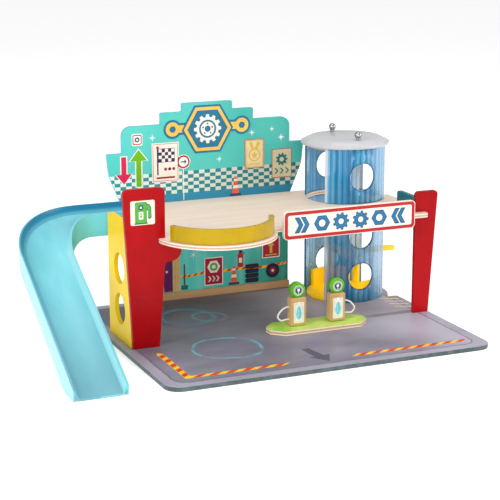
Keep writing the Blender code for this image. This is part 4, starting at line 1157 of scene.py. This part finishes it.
# Road prints on the base: arrow, hatch and the yellow ground of the tapes
road = [([(-3.6, -96), (-12.6, -97.4), (-10.2, -128.6), (-17.4, -127.6), (-1.6, -148.6), (9.4, -125.2),
          (2.0, -126.2)], 1, GREY)]
for y in (57, 44, 31, 18):
    road.append(([(172, y), (194, y - 9), (194, y - 5.4), (172, y + 3.6)], 1, HATCH))
for outline in ([(-169.4, -143.4), (-55, -143.4), (-44.6, -136.0), (-163.8, -136.0)],
                [(-171.8, -143.8), (-169.4, -143.4), (-163.8, -136.0), (-163.6, -50), (-169.0, -45),
                 (-171.8, -50)],
                [(29, -144.2), (173.6, -144.2), (184, -136.8), (39.4, -136.8)]):
    road.append((outline, 0, TAPE_YELLOW))
print_on("road_prints", on_top(BASE_TOP), road)

# Red bars of the tapes
bars = plan_slanted_bars()
for name, count, pitch, slant, x, y, turn in (
        ("tape_front_left", 6, 0.0192, 1.4, -0.1545, -0.1397, 0),
        ("tape_front_right", 8, 0.0183, 1.4, 0.0450, -0.1405, 0),
        ("tape_left", 5, 0.0178, -0.7, -0.1677, -0.0590, -90)):
    sizes = {"Count": count, "Pitch": pitch, "Bar Width": 0.0090, "Tape Width": 0.0073, "Slant": slant,
             "Thickness": 0.0004, "Ink": TAPE_RED}
    move = Matrix.Translation((x, y, BASE_TOP)) @ Matrix.Rotation(math.radians(turn), 4, "Z")
    join_body(grow(bars, name, sizes, move=move))

# Beads along the ramp's outer skirt and screws below the base
skirt = {"Count": 36, "Start": (-0.3010, 0.028, 0.0870), "End": (-0.3010, -0.140, 0.0062), "Radius": 0.0008,
         "Ink": moulded("bead_plastic", srgb(206, 244, 248), srgb(180, 234, 242), 0.3)}
join_body(grow(plan_beads(), "ramp_beads", skirt))

SCREW_Z = 0.00045
under = [(-0.1734, -0.0198), (0.1887, -0.0145), (-0.1881, 0.000), (-0.1881, 0.045), (-0.105, 0.165),
         (-0.023, 0.165), (0.059, 0.165), (0.002, -0.024), (0.082, -0.024), (LIFT_X, 0.0555),
         (LIFT_X, 0.1525)]
heads = {"Radius": 0.0032, "Depth": 0.0010, "Recess": 0.0008, "Metal": STEEL}
screw_places = path_mesh("screw_places", [(x, y, SCREW_Z) for x, y in under])
join_body(grow(plan_screws(), "base_screws", heads, screw_places))

# Cords of the pumps, on the source's route
PUMP_HALF = 0.0100
PUMP_MIDDLE = -0.024
PUMP_FOOT = 0.0113
cords = plan_laid_cord()
route = [(0.0, 0.023), (0.004, 0.023), (0.010, 0.020), (0.015, 0.013), (0.011, 0.0075), (0.004, 0.008),
         (0.0, 0.008)]
strand = {"Step": 0.0004, "Lay Radius": 0.00052, "Strand Radius": 0.00058, "Twist": 1500.0,
          "Yarn": CORD_WHITE}
for side, way, x in (("left", -1, 0.0157), ("right", 1, 0.0677)):
    points = [(x + way * PUMP_HALF + way * out, PUMP_MIDDLE, PUMP_FOOT + height) for out, height in route]
    cord_path = path_mesh(f"cord_route_{side}", smooth_path(points))
    cord = grow(cords, f"pump_cord_{side}", strand, cord_path)
    cord.data.shade_smooth()
    join_body(cord)
    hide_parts(f"pump_hose_{side}")
